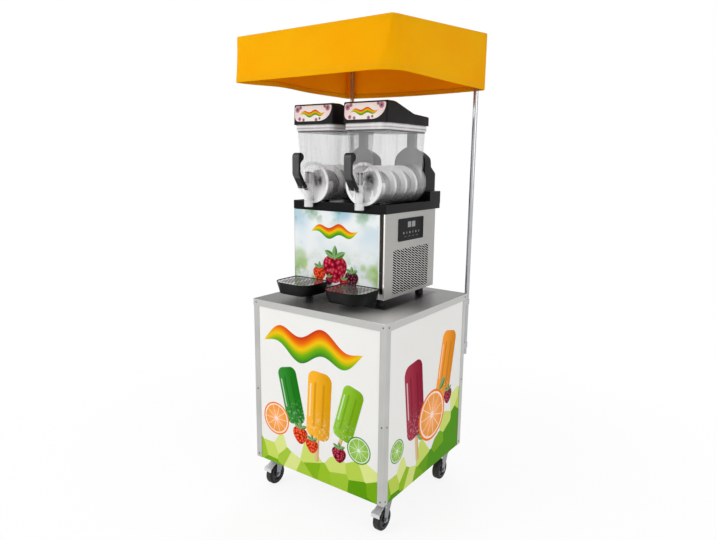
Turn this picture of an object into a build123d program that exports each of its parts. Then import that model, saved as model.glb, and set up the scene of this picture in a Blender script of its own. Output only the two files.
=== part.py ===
from build123d import *
from math import cos, radians, sin, tan
import os

# Slush machine cart: a wheeled cabinet with a cloth canopy and a two-bowl slush machine on its worktop.
# Millimetres, +Z up, front towards -Y, +X to the viewer's right, origin on the floor under the cart's centre.

# Cart body
cart_width = 700.0
cart_depth = 680.0
worktop_height = 895.0
ground_clearance = 148.0
worktop_sheet = 1.5
worktop_lip = 30.0
worktop_edge_round = 1.2
trim_leg = 30.0
trim_thickness = 2.0
panel_thickness = 3.0
frame_leg = 30.0
frame_thickness = 3.0
floor_thickness = 15.0
floor_gap = 1.0

# Rivets on the corner trims
rivet_head_radius = 3.6
rivet_head_height = 1.6
rivet_head_round = 1.2
rivet_shank_radius = 2.0
rivet_hole_clearance = 0.1
rivet_end_distance = 16.0
rivet_mid_height = 480.0

# Rear door, its hinges and its latch
door_gap = 2.0
hinge_height = 60.0
hinge_end_distance = 90.0
hinge_leaf_width = 24.0
hinge_leaf_thickness = 2.0
hinge_knuckle_radius = 4.0
hinge_pin_radius = 2.0
hinge_knuckle_gap = 0.3
hinge_knuckles = 3
latch_edge_distance = 26.0
latch_height = 520.0
latch_spindle_radius = 8.0
latch_collar_radius = 14.0
latch_collar_height = 4.0
latch_grip_length = 46.0
latch_grip_width = 12.0
latch_grip_height = 16.0
latch_grip_round = 5.0
latch_cam_length = 40.0
latch_cam_width = 16.0
latch_cam_thickness = 1.5
latch_cam_gap = 0.25

# Castors
castor_inset_x = 50.0
castor_inset_y = 90.0
castor_trail = 22.0
castor_plate_x = 80.0
castor_plate_y = 96.0
castor_plate_thickness = 4.0
castor_bolt_spacing_x = 58.0
castor_bolt_spacing_y = 74.0
castor_bolt_radius = 4.0
castor_bolt_head_radius = 8.0
castor_bolt_head_height = 4.0
castor_bolt_head_round = 2.8
castor_nut_height = 5.0
castor_nut_sides = 6
castor_hole_clearance = 0.25
gusset_margin = 8.0
race_radius = 27.0
race_height = 10.0
kingpin_radius = 6.0
kingpin_head_radius = 11.0
kingpin_head_height = 6.0
crown_radius = 31.0
crown_height = 9.0
fork_leg_thickness = 3.0
fork_leg_top = 26.0
fork_leg_end_radius = 13.0
wheel_diameter = 95.0
wheel_width = 32.0
wheel_rim_radius = 33.0
wheel_tread_round = 7.0
hub_rim_wall = 3.0
hub_overhang = 1.5
hub_web_recess = 7.0
hub_boss_radius = 13.0
axle_radius = 5.0
axle_head_radius = 8.0
axle_head_height = 5.0
running_gap = 0.3
bearing_clearance = 0.05

# Brake pedals of the front castors
pedal_pivot_above_wheel = 10.0
pedal_pivot_radius = 3.0
pedal_boss_radius = 6.0
pedal_reach = 51.0
pedal_drop = 20.0
pedal_width = 40.0
pedal_tread_start = 36.0
pedal_thickness = 3.0
pedal_lip = 16.0
pedal_side_gap = 1.0
shoe_half_width = 12.0
shoe_front = 7.0
shoe_back = 3.0
shoe_tyre_gap = 0.2

# Canopy
canopy_overhang = 28.0
canopy_headroom = 907.0
valance_drop = 178.0
canopy_rise = 60.0
canopy_cloth = 3.0
canopy_corner_round = 12.0
canopy_gap = 0.3
canopy_tube_radius = 9.5
canopy_bend_radius = 12.5
post_radius = 11.0
post_wall = 1.5
post_inset = 12.0
post_standoff = 14.5
post_below_worktop = 300.0
socket_radius = 14.0
socket_length = 70.0
socket_cap = 4.0
clamp_height = 24.0
clamp_ring = 2.5
clamp_pad_width = 20.0
clamp_end_distance = 45.0

# Slush machine housing
machine_offset_x = -30.0
machine_front = -154.0
machine_depth = 415.0
machine_foot_height = 36.0
machine_foot_radius = 19.0
machine_foot_top_radius = 15.0
machine_foot_inset = 46.0
housing_height = 353.0
housing_sheet = 1.2
base_sheet = 1.5
base_flange = 25.0
housing_front_flange = 18.0
front_panel_gap = 8.0
front_panel_left_gap = 0.5
front_panel_depth = 4.0
front_panel_end_gap = 3.0
front_panel_round = 1.5

# Slotted grille and touch panel on the housing
grille_centre_y = 58.0
grille_rise = 19.0
grille_columns = 10
grille_rows = 17
grille_pitch_y = 29.7
grille_pitch_z = 10.6
slot_length = 27.0
slot_width = 5.2
slot_slant = -24.0
touch_centre_y = 49.0
touch_drop = 73.0
touch_width = 204.0
touch_height = 95.0
touch_thickness = 2.5
touch_round = 5.0
gland_rise = 44.0
gland_offset_x = 150.0
gland_radius = 9.0
gland_hole_gap = 0.2
gland_nut_radius = 13.0
gland_nut_height = 6.0
gland_nose = 18.0
gland_bore_radius = 4.5

# Bowl deck with its rear towers and lamp columns
deck_overhang = 2.0
deck_height = 36.0
deck_floor_drop = 14.0
deck_wall = 8.0
deck_skin = 4.0
deck_tail = 39.0
deck_round = 3.0
bowl_gap = 54.0
bowl_edge_distance = 108.0
tower_depth = 95.0
tower_half_width = 80.0
tower_rise = 225.0
plinth_rise = 42.0
tower_waist_rise = 120.0
tower_shoulder_depth = 53.0
tower_shoulder_rise = 150.0
tower_neck_depth = 51.0
tower_neck_rise = 188.0
tower_crown_depth = 17.0
tower_round = 10.0
tower_head_round = 60.0
lamp_disc_radius = 72.0
lamp_disc_rise = 237.0
lamp_disc_depth = 8.0
column_half_width = 19.0
column_gap = 3.0
column_depth = 26.0
column_foot_rise = 170.0
lamp_contact_height = 30.0
lid_rear_gap = 1.5
cradle_front_gap = 36.0
cradle_length = 24.0
cradle_half_width = 46.0

# Bowls
barrel_rise = 80.0
barrel_radius = 88.0
bowl_wall = 4.0
bowl_overhang = 2.0
bowl_rear_gap = 2.0
bowl_mouth_radius = 79.0
rim_rise = 323.0
rim_band_height = 25.0
rim_band = 4.0
rim_half_width = 103.0
rim_front_inset = 8.0
rim_rear_inset = 27.0
rim_corner = 24.0
hopper_corner = 10.0
hopper_front_inset = 28.0
hopper_rear_inset = 38.0
spout_radius = 19.0
spout_bore_radius = 14.0
spout_stand = 24.0
spout_drop = 23.0
spout_rise = 120.0
spout_bridge_half = 14.0
spout_bridge_rise = 6.0
port_radius = 9.0
port_rise = 15.0
tap_slot_half = 8.0
tap_slot_end_gap = 3.0
ear_inner = 9.0
ear_thickness = 5.0
ear_radius = 11.0
seal_flange_radius = 70.0
seal_flange_depth = 8.0

# Lids
lid_skin = 3.0
lid_front_lean = 4.0
lid_front_rise = 84.0
lid_flat_length = 58.0
lid_flat_rise = 85.0
lid_slope_length = 150.0
lid_slope_rise = 44.0
lid_rear_rise = 38.0
lid_round = 6.0
lid_bend_round = 120.0

# Tap handles and pistons
tap_pivot_stand = 40.0
tap_pivot_rise = 65.0
tap_arm_length = 30.0
tap_arm_rest = 25.0
tap_arm_radius = 4.0
tap_arm_half_width = 5.0
tap_peg_radius = 3.0
tap_hub_radius = 9.0
tap_side_gap = 0.5
ear_swing_gap = 1.5
lever_half_width = 19.0
lever_round = 5.0
lever_foot_depth = 2 * tap_hub_radius
lever_knee_rise = 54.0
lever_knee_round = 24.0
lever_stem_depth = 15.0
lever_forward = 44.0
lever_neck_rise = 88.0
lever_head_rise = 139.0
lever_head_depth = 36.0
piston_foot_gap = 23.0
piston_stand = 6.0
piston_clearance = 0.05
groove_core_radius = 5.5
groove_play = 4.0
ring_groove_depth = 1.5
ring_groove_height = 3.0
ring_groove_count = 2

# Cooling drums, augers, drive shafts and gear motors
drum_radius = 52.0
drum_wall = 2.0
drum_front_gap = 40.0
auger_clearance = 2.5
auger_radius = 76.0
auger_rear_gap = 15.0
auger_front_gap = 34.0
auger_turns = 3.5
auger_blade = 15.0
auger_hub_radius = 16.0
auger_hub_depth = 14.0
auger_arm_width = 12.0
auger_post_inset = 3.0
shaft_radius = 6.0
shaft_hole_radius = 9.0
gearbox_size = 64.0
gearbox_depth = 30.0
motor_radius = 25.0
motor_length = 24.0
shaft_engagement = 16.0

# Drip trays and grids
tray_width = 196.0
tray_depth = 165.0
tray_rise = 34.0
tray_height = 51.0
tray_wall = 3.0
tray_taper = 16.0
tray_front_round = 58.0
tray_rear_round = 24.0
tray_gap = 0.6
tray_ledge = 6.0
tray_ledge_drop = 8.0
tray_ledge_thickness = 3.0
tray_hook_half = 7.0
tray_hook_height = 9.0
tray_hook_reach = 9.0
tray_hook_spread = 50.0
tray_hook_play = 0.6
grid_thickness = 6.0
grid_play = 0.8
grid_slot_length = 66.0
grid_slot_width = 7.0
grid_slot_pitch = 13.0
grid_slot_rows = 9
grid_bar = 12.0

# Cooling plant inside the housing
condenser_depth = 44.0
condenser_width = 250.0
condenser_height = 190.0
condenser_from_panel = 12.0
condenser_fin_pitch = 10.0
condenser_fin = 3.0
condenser_core = 16.0
fan_radius = 82.0
fan_blade_count = 5
fan_blade_depth = 22.0
fan_blade_thickness = 2.5
fan_blade_pitch = 32.0
fan_hub_radius = 22.0
fan_shroud_wall = 4.0
fan_shroud_depth = 30.0
fan_tip_gap = 4.0
fan_motor_radius = 26.0
fan_motor_length = 40.0
fan_strut_width = 14.0
fan_spindle_radius = 4.0
compressor_radius = 66.0
compressor_height = 150.0
compressor_round = 28.0
compressor_foot = 170.0
compressor_foot_thickness = 4.0
compressor_x = -150.0
compressor_y = 60.0

# Worked-out planes and places of the cart
half_width = cart_width / 2
half_depth = cart_depth / 2
trim_x = half_width - worktop_sheet
trim_y = half_depth - worktop_sheet
panel_x = trim_x - trim_thickness
panel_y = trim_y - trim_thickness
frame_x = panel_x - panel_thickness
frame_y = panel_y - panel_thickness
frame_top = worktop_height - worktop_sheet
castor_x = half_width - castor_inset_x
castor_y = half_depth - castor_inset_y
wheel_radius = wheel_diameter / 2
post_x = half_width - post_inset
post_y = trim_y + post_standoff + post_radius
canopy_half_width = half_width + canopy_overhang
canopy_half_depth = post_y + socket_radius + canopy_gap + canopy_cloth
canopy_hem_height = worktop_height + canopy_headroom
canopy_front_height = canopy_hem_height + valance_drop
canopy_rear_height = canopy_front_height + canopy_rise

# Worked-out planes and places of the machine
lid_half_width = rim_half_width + rim_band
bowl_spacing = 2 * lid_half_width + bowl_gap
machine_width = bowl_spacing + 2 * bowl_edge_distance
machine_left = machine_offset_x - machine_width / 2
machine_right = machine_offset_x + machine_width / 2
machine_rear = machine_front + machine_depth
housing_bottom = worktop_height + machine_foot_height
housing_top = housing_bottom + housing_height
grille_bottom = housing_bottom + grille_rise
touch_centre_z = housing_top - touch_drop
gland_height = housing_bottom + gland_rise
deck_front = machine_front - deck_overhang
deck_rear = machine_rear + deck_tail
deck_top = housing_top + deck_height
deck_floor = deck_top - deck_floor_drop
tower_front = deck_rear - tower_depth
tower_top = deck_top + tower_rise
tower_waist_z = deck_top + tower_waist_rise
tower_shoulder_y = tower_front + tower_shoulder_depth
tower_shoulder_z = deck_top + tower_shoulder_rise
tower_neck_y = tower_front + tower_neck_depth
tower_neck_z = deck_top + tower_neck_rise
tower_crown_y = tower_front + tower_crown_depth
plinth_top = deck_top + plinth_rise
lamp_disc_top = deck_top + lamp_disc_rise
column_front = tower_front + column_gap
column_foot_z = deck_top + column_foot_rise
cradle_front = deck_front + cradle_front_gap
bowl_front = deck_front - bowl_overhang
bowl_rear = tower_front - bowl_rear_gap
barrel_z = deck_top + barrel_rise
rim_z = deck_top + rim_rise
rim_front = bowl_front + rim_front_inset
rim_rear = bowl_rear - rim_rear_inset
spout_y = bowl_front - spout_stand
spout_bottom = deck_top - spout_drop
spout_top = deck_top + spout_rise
spout_bridge_bottom = deck_top + spout_bridge_rise
port_z = deck_top + port_rise
lid_front = rim_front - rim_band
lid_rear = rim_rear + rim_band
lid_front_top_y = lid_front + lid_front_lean
lid_front_top_z = rim_z + lid_front_rise
lid_flat_end_y = lid_front_top_y + lid_flat_length
lid_flat_end_z = rim_z + lid_flat_rise
lid_flat_middle_y = lid_flat_end_y - lid_flat_length / 2
lid_slope_end_y = lid_flat_end_y + lid_slope_length
lid_rear_middle_y = (lid_slope_end_y + lid_rear) / 2
lid_slope_end_z = rim_z + lid_slope_rise
lid_rear_top_z = rim_z + lid_rear_rise
tap_pivot_y = spout_y - tap_pivot_stand
tap_pivot_z = deck_top + tap_pivot_rise
tap_travel = 2 * tap_arm_length * sin(radians(tap_arm_rest))
lever_neck_z = tap_pivot_z + lever_neck_rise
lever_top_z = tap_pivot_z + lever_head_rise
piston_bottom = spout_bottom + piston_foot_gap
piston_top = spout_top + piston_stand
drum_front = bowl_front + drum_front_gap
auger_front = bowl_front + auger_front_gap
auger_rear = tower_front - auger_rear_gap
tray_back = machine_front - tray_gap
tray_bottom_z = worktop_height + tray_rise
tray_rim_z = tray_bottom_z + tray_height
front_left, front_right = (-1, -1), (1, -1)
rear_left, rear_right = (-1, 1), (1, 1)
castor_places = {
    "front_left": front_left,
    "front_right": front_right,
    "rear_left": rear_left,
    "rear_right": rear_right,
}
bowl_places = {
    "left": machine_offset_x - bowl_spacing / 2,
    "right": machine_offset_x + bowl_spacing / 2,
}


def block(x0, x1, y0, y1, z0, z1):
    """A box between two corners."""
    middle = Pos((x0 + x1) / 2, (y0 + y1) / 2, (z0 + z1) / 2)
    return middle * Box(abs(x1 - x0), abs(y1 - y0), abs(z1 - z0))


def rod_x(radius, x0, x1, y, z):
    return Pos((x0 + x1) / 2, y, z) * Rot(0, 90, 0) * Cylinder(radius, abs(x1 - x0))


def rod_y(radius, x, y0, y1, z):
    return Pos(x, (y0 + y1) / 2, z) * Rot(90, 0, 0) * Cylinder(radius, abs(y1 - y0))


def rod_z(radius, x, y, z0, z1):
    return Pos(x, y, (z0 + z1) / 2) * Cylinder(radius, abs(z1 - z0))


def side_profile(points, x0, x1):
    """A closed outline of (y, z) points, pulled along X."""
    face = make_face(Polyline(*[(x0, y, z) for y, z in points], close=True))
    return extrude(face, amount=x1 - x0, dir=(1, 0, 0))


def save(name, *pieces):
    solids = [solid for piece in pieces for solid in piece.solids()]
    export_step(Compound(children=solids), f"parts/{name}.step")


# Cart body


def rivet_places():
    """Each rivet as its head's place, the outward direction and whether it goes through the worktop's lip."""
    levels = [
        (ground_clearance + rivet_end_distance, False),
        (rivet_mid_height, False),
        (worktop_height - worktop_lip / 2, True),
    ]
    along_x = trim_x - trim_leg / 2
    along_y = trim_y - trim_leg / 2
    places = []
    for z, through_lip in levels:
        face_x = half_width if through_lip else trim_x
        face_y = half_depth if through_lip else trim_y
        for side in (-1, 1):
            places.append(((side * along_x, -face_y, z), (0, -1), through_lip))
            for end in (-1, 1):
                places.append(((side * face_x, end * along_y, z), (side, 0), through_lip))
    return places


def rivet_stack(through_lip):
    sheets = trim_thickness + panel_thickness + frame_thickness
    return sheets + worktop_sheet if through_lip else sheets


def rivet_pin(place, outward, length, radius):
    x, y, z = place
    if outward[0]:
        return rod_x(radius, x, x - outward[0] * length, y, z)
    return rod_y(radius, x, y, y - outward[1] * length, z)


def rivet(place, outward, through_lip):
    seat = Plane(place, z_dir=(outward[0], outward[1], 0))
    cap = Pos(0, 0, rivet_head_height / 2) * Cylinder(rivet_head_radius, rivet_head_height)
    cap = fillet(cap.edges().group_by(Axis.Z)[-1], rivet_head_round)
    return seat * cap + rivet_pin(place, outward, rivet_stack(through_lip), rivet_shank_radius)


def drill_rivets(solid):
    holes = [
        rivet_pin(place, outward, rivet_stack(lip), rivet_shank_radius + rivet_hole_clearance)
        for place, outward, lip in rivet_places()
    ]
    return solid - holes


def worktop():
    outer = block(-half_width, half_width, -half_depth, half_depth, worktop_height - worktop_lip,
                  worktop_height)
    inner = block(-trim_x, trim_x, -trim_y, trim_y, worktop_height - worktop_lip, frame_top)
    tray = outer - inner
    rounded = tray.edges().group_by(Axis.Z)[-1]
    return drill_rivets(fillet(rounded, worktop_edge_round))


def corner_trim(place):
    sx, sy = place
    front = block(sx * (trim_x - trim_leg), sx * trim_x, sy * panel_y, sy * trim_y, ground_clearance,
                  frame_top)
    side = block(sx * panel_x, sx * trim_x, sy * (trim_y - trim_leg), sy * trim_y, ground_clearance,
                 frame_top)
    return front + side


def castor_centres():
    return [(sx * castor_x, sy * castor_y) for sx, sy in castor_places.values()]


def castor_bolt_places():
    steps_x = (-castor_bolt_spacing_x / 2, castor_bolt_spacing_x / 2)
    steps_y = (-castor_bolt_spacing_y / 2, castor_bolt_spacing_y / 2)
    return [(x + dx, y + dy) for x, y in castor_centres() for dx in steps_x for dy in steps_y]


def castor_holes(z0, z1):
    return [rod_z(castor_bolt_radius + castor_hole_clearance, x, y, z0, z1) for x, y in castor_bolt_places()]


def frame_ring(z0, z1, flange_z0):
    """One welded ring of angle section: an upright band with a level flange turned inwards."""
    inside_x = frame_x - frame_thickness
    inside_y = frame_y - frame_thickness
    band = block(-frame_x, frame_x, -frame_y, frame_y, z0, z1)
    band -= block(-inside_x, inside_x, -inside_y, inside_y, z0, z1)
    flange_z1 = flange_z0 + frame_thickness
    flange = block(-frame_x, frame_x, -frame_y, frame_y, flange_z0, flange_z1)
    opening_x = frame_x - frame_leg
    opening_y = frame_y - frame_leg
    flange -= block(-opening_x, opening_x, -opening_y, opening_y, flange_z0, flange_z1)
    return band + flange


def cart_frame():
    low = ground_clearance
    frame = frame_ring(low, low + frame_leg, low)
    frame += frame_ring(frame_top - frame_leg, frame_top, frame_top - frame_thickness)
    gusset_x = castor_x - castor_plate_x / 2 - gusset_margin
    gusset_y = castor_y - castor_plate_y / 2 - gusset_margin
    for sx, sy in castor_places.values():
        frame += block(sx * (frame_x - frame_leg), sx * frame_x, sy * (frame_y - frame_thickness), sy
                       * frame_y, low, frame_top)
        frame += block(sx * (frame_x - frame_thickness), sx * frame_x, sy * (frame_y - frame_leg), sy
                       * frame_y, low, frame_top)
        frame += block(sx * gusset_x, sx * frame_x, sy * gusset_y, sy * frame_y, low, low + frame_thickness)
    frame -= castor_holes(low, low + frame_thickness)
    return drill_rivets(frame)


def floor_board():
    edge_x = frame_x - frame_thickness - floor_gap
    edge_y = frame_y - frame_thickness - floor_gap
    z0 = ground_clearance + frame_thickness
    z1 = z0 + floor_thickness
    return block(-edge_x, edge_x, -edge_y, edge_y, z0, z1) - castor_holes(z0, z1)


def front_panel():
    return drill_rivets(block(-panel_x, panel_x, -panel_y, -frame_y, ground_clearance, frame_top))


def side_panel(side):
    return drill_rivets(block(side * frame_x, side * panel_x, -frame_y, panel_y, ground_clearance, frame_top))


# Rear door

door_half_width = trim_x - trim_leg - door_gap
door_bottom = ground_clearance + door_gap
door_top = worktop_height - worktop_lip - door_gap
hinge_x = trim_x - trim_leg - door_gap / 2
hinge_y = trim_y + hinge_knuckle_radius
hinge_centres = (door_bottom + hinge_end_distance, door_top - hinge_end_distance)
latch_x = -door_half_width + latch_edge_distance
latch_bore_radius = latch_spindle_radius + bearing_clearance


def rear_door():
    inside = trim_y - panel_thickness
    panel = block(-door_half_width, door_half_width, inside, trim_y, door_bottom, door_top)
    return panel - rod_y(latch_bore_radius, latch_x, inside, trim_y, latch_height)


def hinge_half(centre_z, side):
    """A leaf with its share of the knuckle: the frame's leaf has both ends, the door's leaf the middle."""
    knuckle = hinge_height / hinge_knuckles
    leaf_x = hinge_x + side * hinge_leaf_width
    leaf_y = trim_y + hinge_leaf_thickness
    if side > 0:
        inner_end = knuckle / 2 + hinge_knuckle_gap
        spans = [(-hinge_height / 2, -inner_end), (inner_end, hinge_height / 2)]
        bore = hinge_pin_radius
    else:
        spans = [(-knuckle / 2, knuckle / 2)]
        bore = hinge_pin_radius + bearing_clearance
    leaf = block(hinge_x, leaf_x, trim_y, leaf_y, centre_z - hinge_height / 2, centre_z + hinge_height / 2)
    reach = hinge_knuckle_radius + hinge_knuckle_gap
    leaf -= rod_z(reach, hinge_x, hinge_y, centre_z - hinge_height / 2, centre_z + hinge_height / 2)
    for low, high in spans:
        z0, z1 = centre_z + low, centre_z + high
        leaf += block(hinge_x, hinge_x + side * 2 * reach, trim_y, leaf_y, z0, z1)
        leaf += rod_z(hinge_knuckle_radius, hinge_x, hinge_y, z0, z1)
    return leaf - rod_z(bore, hinge_x, hinge_y, centre_z - hinge_height / 2, centre_z + hinge_height / 2)


def hinge_pin(centre_z):
    return rod_z(hinge_pin_radius, hinge_x, hinge_y, centre_z - hinge_height / 2, centre_z + hinge_height / 2)


def door_latch():
    inside = trim_y - panel_thickness - latch_cam_gap
    outside = trim_y + running_gap
    collar_y = outside + latch_collar_height
    grip_y = collar_y + latch_grip_height
    spindle = rod_y(latch_spindle_radius, latch_x, inside - latch_cam_thickness, collar_y, latch_height)
    collar = rod_y(latch_collar_radius, latch_x, outside, collar_y, latch_height)
    half_grip, half_thick = latch_grip_length / 2, latch_grip_width / 2
    grip = block(latch_x - half_thick, latch_x + half_thick, collar_y, grip_y, latch_height - half_grip,
                 latch_height + half_grip)
    grip = fillet(grip.edges().filter_by(Axis.Y), latch_grip_round)
    half_cam = latch_cam_width / 2
    cam = block(latch_x - latch_cam_length, latch_x + half_cam, inside - latch_cam_thickness, inside,
                latch_height - half_cam, latch_height + half_cam)
    return spindle + collar + grip + cam


# Castors

plate_bottom = ground_clearance - castor_plate_thickness
race_bottom = plate_bottom - race_height
crown_top = race_bottom - running_gap
crown_bottom = crown_top - crown_height
hub_half = wheel_width / 2 + hub_overhang
leg_inner = hub_half + running_gap
leg_outer = leg_inner + fork_leg_thickness


def castor_plate(x, y):
    plate = block(x - castor_plate_x / 2, x + castor_plate_x / 2, y - castor_plate_y / 2, y
                  + castor_plate_y / 2,
                  plate_bottom, ground_clearance)
    plate -= castor_holes(plate_bottom, ground_clearance)
    head_top = crown_bottom - running_gap
    return (plate + rod_z(race_radius, x, y, race_bottom, plate_bottom)
            + rod_z(kingpin_radius, x, y, head_top, race_bottom)
            + rod_z(kingpin_head_radius, x, y, head_top - kingpin_head_height, head_top))


def castor_bolt(x, y):
    board_top = ground_clearance + frame_thickness + floor_thickness
    head = Pos(x, y, board_top + castor_bolt_head_height / 2) * Cylinder(castor_bolt_head_radius,
                                                                         castor_bolt_head_height)
    head = fillet(head.edges().group_by(Axis.Z)[-1], castor_bolt_head_round)
    nut_bottom = plate_bottom - castor_nut_height
    nut = Pos(x, y, nut_bottom) * extrude(RegularPolygon(castor_bolt_head_radius, castor_nut_sides),
                                          castor_nut_height)
    return head + rod_z(castor_bolt_radius, x, y, nut_bottom, board_top) + nut


def castor_fork(x, y):
    """Crown and two legs, with the wheel's axle bolt as a second solid."""
    axle_y = y - castor_trail
    crown = rod_z(crown_radius, x, y, crown_bottom, crown_top)
    outline = [
        (y - fork_leg_top, crown_bottom),
        (y + fork_leg_top, crown_bottom),
        (axle_y + fork_leg_end_radius, wheel_radius),
        (axle_y - fork_leg_end_radius, wheel_radius),
    ]
    for side in (-1, 1):
        x0, x1 = sorted((x + side * leg_inner, x + side * leg_outer))
        crown += side_profile(outline, x0, x1) + rod_x(fork_leg_end_radius, x0, x1, axle_y, wheel_radius)
    crown -= rod_z(kingpin_radius + bearing_clearance, x, y, crown_bottom, crown_top)
    crown -= rod_x(axle_radius, x - leg_outer, x + leg_outer, axle_y, wheel_radius)
    pivot_y, pivot_z = pedal_pivot(y)
    if y < 0:
        crown -= rod_x(pedal_pivot_radius + bearing_clearance, x - leg_outer, x + leg_outer, pivot_y, pivot_z)
    axle = rod_x(axle_radius, x - leg_outer, x + leg_outer, axle_y, wheel_radius)
    for side in (-1, 1):
        axle += rod_x(axle_head_radius, x + side * leg_outer, x + side * (leg_outer + axle_head_height),
                      axle_y, wheel_radius)
    return crown, axle


def castor_wheel(x, y):
    """A tyre and its hub, turning together on the axle."""
    axle_y = y - castor_trail
    half = wheel_width / 2
    tyre = rod_x(wheel_radius, x - half, x + half, axle_y, wheel_radius)
    tyre = fillet(tyre.edges().filter_by(GeomType.CIRCLE), wheel_tread_round)
    tyre -= rod_x(wheel_rim_radius, x - half, x + half, axle_y, wheel_radius)
    hub = rod_x(wheel_rim_radius, x - half, x + half, axle_y, wheel_radius)
    for side in (-1, 1):
        hub -= rod_x(wheel_rim_radius - hub_rim_wall, x + side * (half - hub_web_recess), x + side * half,
                     axle_y, wheel_radius)
    hub += rod_x(hub_boss_radius, x - hub_half, x + hub_half, axle_y, wheel_radius)
    hub -= rod_x(axle_radius + bearing_clearance, x - hub_half, x + hub_half, axle_y, wheel_radius)
    return tyre, hub


def pedal_pivot(y):
    return y - castor_trail, wheel_diameter + pedal_pivot_above_wheel


def brake_pedal(x, y):
    """A pivot bar in the fork, a brake shoe over the tyre and a tread plate with a turned-down lip."""
    pivot_y, pivot_z = pedal_pivot(y)
    arm_half = leg_inner - pedal_side_gap
    tread_half = pedal_width / 2
    bar = rod_x(pedal_boss_radius, x - arm_half, x + arm_half, pivot_y, pivot_z)
    pegs = rod_x(pedal_pivot_radius, x - leg_outer, x + leg_outer, pivot_y, pivot_z)
    tip_y, tip_z = pivot_y - pedal_reach, pivot_z - pedal_drop
    lip_z = tip_z - pedal_lip
    top, under = pedal_boss_radius, pedal_boss_radius - pedal_thickness
    plate = side_profile(
        [(pivot_y, pivot_z + top), (tip_y, tip_z + top), (tip_y, tip_z + under), (pivot_y, pivot_z + under)],
        x - arm_half, x + arm_half)
    clear_y = pivot_y - pedal_tread_start
    clear_z = pivot_z - pedal_drop * pedal_tread_start / pedal_reach
    tread = side_profile(
        [(clear_y, clear_z + top), (tip_y, tip_z + top), (tip_y, lip_z + top),
         (tip_y + pedal_thickness, lip_z + top), (tip_y + pedal_thickness, tip_z + under),
         (clear_y, clear_z + under)],
        x - tread_half, x + tread_half)
    shoe = block(x - shoe_half_width, x + shoe_half_width, pivot_y - shoe_front, pivot_y - shoe_back,
                 wheel_diameter + shoe_tyre_gap, pivot_z)
    return bar + pegs + plate + tread + shoe


# Canopy

cover_inside_x = canopy_half_width - canopy_cloth
cover_inside_y = canopy_half_depth - canopy_cloth
arm_x = cover_inside_x - canopy_gap - canopy_tube_radius
bar_y = cover_inside_y - canopy_gap - canopy_tube_radius
roof_slope = canopy_rise / (2 * canopy_half_depth)
roof_stretch = (1 + roof_slope ** 2) ** 0.5


def roof_z(y):
    return canopy_front_height + roof_slope * (y + canopy_half_depth)


def tube_z(y):
    """Height of a canopy tube's centre at this depth, just under the roof cloth."""
    return roof_z(y) - (canopy_cloth + canopy_gap + canopy_tube_radius) * roof_stretch


def tent(half_x, half_y, drop, corner):
    """The closed block under a sloping roof, with rounded upright corners."""
    plan = extrude(RectangleRounded(2 * half_x, 2 * half_y, corner), canopy_rear_height)
    z0 = canopy_hem_height
    wedge = side_profile(
        [(-half_y, z0), (half_y, z0), (half_y, roof_z(half_y) - drop), (-half_y, roof_z(-half_y) - drop)],
        -half_x, half_x)
    return wedge & plan


def canopy_cover():
    outer = tent(canopy_half_width, canopy_half_depth, 0, canopy_corner_round)
    return outer - tent(cover_inside_x, cover_inside_y, canopy_cloth, canopy_corner_round - canopy_cloth)


def socket_end():
    return tube_z(bar_y) - canopy_tube_radius - socket_cap


def canopy_frame():
    """A loop of bent tube under the roof cloth, with sockets for the posts under its rear bar."""
    roof_plane = Plane(origin=(0, 0, tube_z(0)), x_dir=(1, 0, 0), z_dir=(0, -roof_slope, 1))
    outline = roof_plane * RectangleRounded(2 * arm_x, 2 * bar_y * roof_stretch, canopy_bend_radius)
    loop = outline.wire()
    ring = Plane(origin=loop @ 0, z_dir=loop % 0) * Circle(canopy_tube_radius)
    frame = sweep(ring, path=loop)
    for side in (-1, 1):
        x = side * post_x
        frame += rod_z(socket_radius, x, post_y, socket_end() - socket_length, tube_z(bar_y))
        frame -= rod_z(post_radius + bearing_clearance, x, post_y, socket_end() - socket_length, socket_end())
    return frame


def canopy_post(side):
    x = side * post_x
    z0 = worktop_height - post_below_worktop
    return rod_z(post_radius, x, post_y, z0, socket_end()) - rod_z(post_radius - post_wall, x, post_y, z0,
                                                                   socket_end())


def post_clamp(side, centre_z):
    x = side * post_x
    z0, z1 = centre_z - clamp_height / 2, centre_z + clamp_height / 2
    ring = rod_z(post_radius + clamp_ring, x, post_y, z0, z1)
    pad = block(x - clamp_pad_width / 2, x + clamp_pad_width / 2, trim_y, post_y, z0, z1)
    return ring + pad - rod_z(post_radius + bearing_clearance, x, post_y, z0, z1)


# Slush machine housing


def machine_foot(x, y):
    foot = Cone(machine_foot_radius, machine_foot_top_radius, machine_foot_height)
    return Pos(x, y, worktop_height + machine_foot_height / 2) * foot


def machine_feet():
    xs = (machine_left + machine_foot_inset, machine_right - machine_foot_inset)
    ys = (machine_front + machine_foot_inset, machine_rear - machine_foot_inset)
    return [machine_foot(x, y) for x in xs for y in ys]


def machine_base():
    x0, x1 = machine_left + housing_sheet, machine_right - housing_sheet
    y0, y1 = machine_front + front_panel_depth, machine_rear - housing_sheet
    z0 = housing_bottom
    pan = block(x0, x1, y0, y1, z0, z0 + base_flange)
    return pan - block(x0 + base_sheet, x1 - base_sheet, y0 + base_sheet, y1 - base_sheet, z0 + base_sheet,
                       z0 + base_flange)


def grille_slots(x0, x1):
    """Slanted slots through a side panel, every second column half a step lower."""
    face = SlotOverall(slot_length, slot_width, slot_slant)
    slot = extrude(face, abs(x1 - x0))
    slots = []
    for row in range(grille_rows):
        for column in range(grille_columns):
            y = grille_centre_y + (column - (grille_columns - 1) / 2) * grille_pitch_y
            z = grille_bottom + (row + column % 2 / 2) * grille_pitch_z
            slots.append(Plane(origin=(min(x0, x1), y, z), x_dir=(0, 1, 0), z_dir=(1, 0, 0)) * slot)
    return slots


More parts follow.
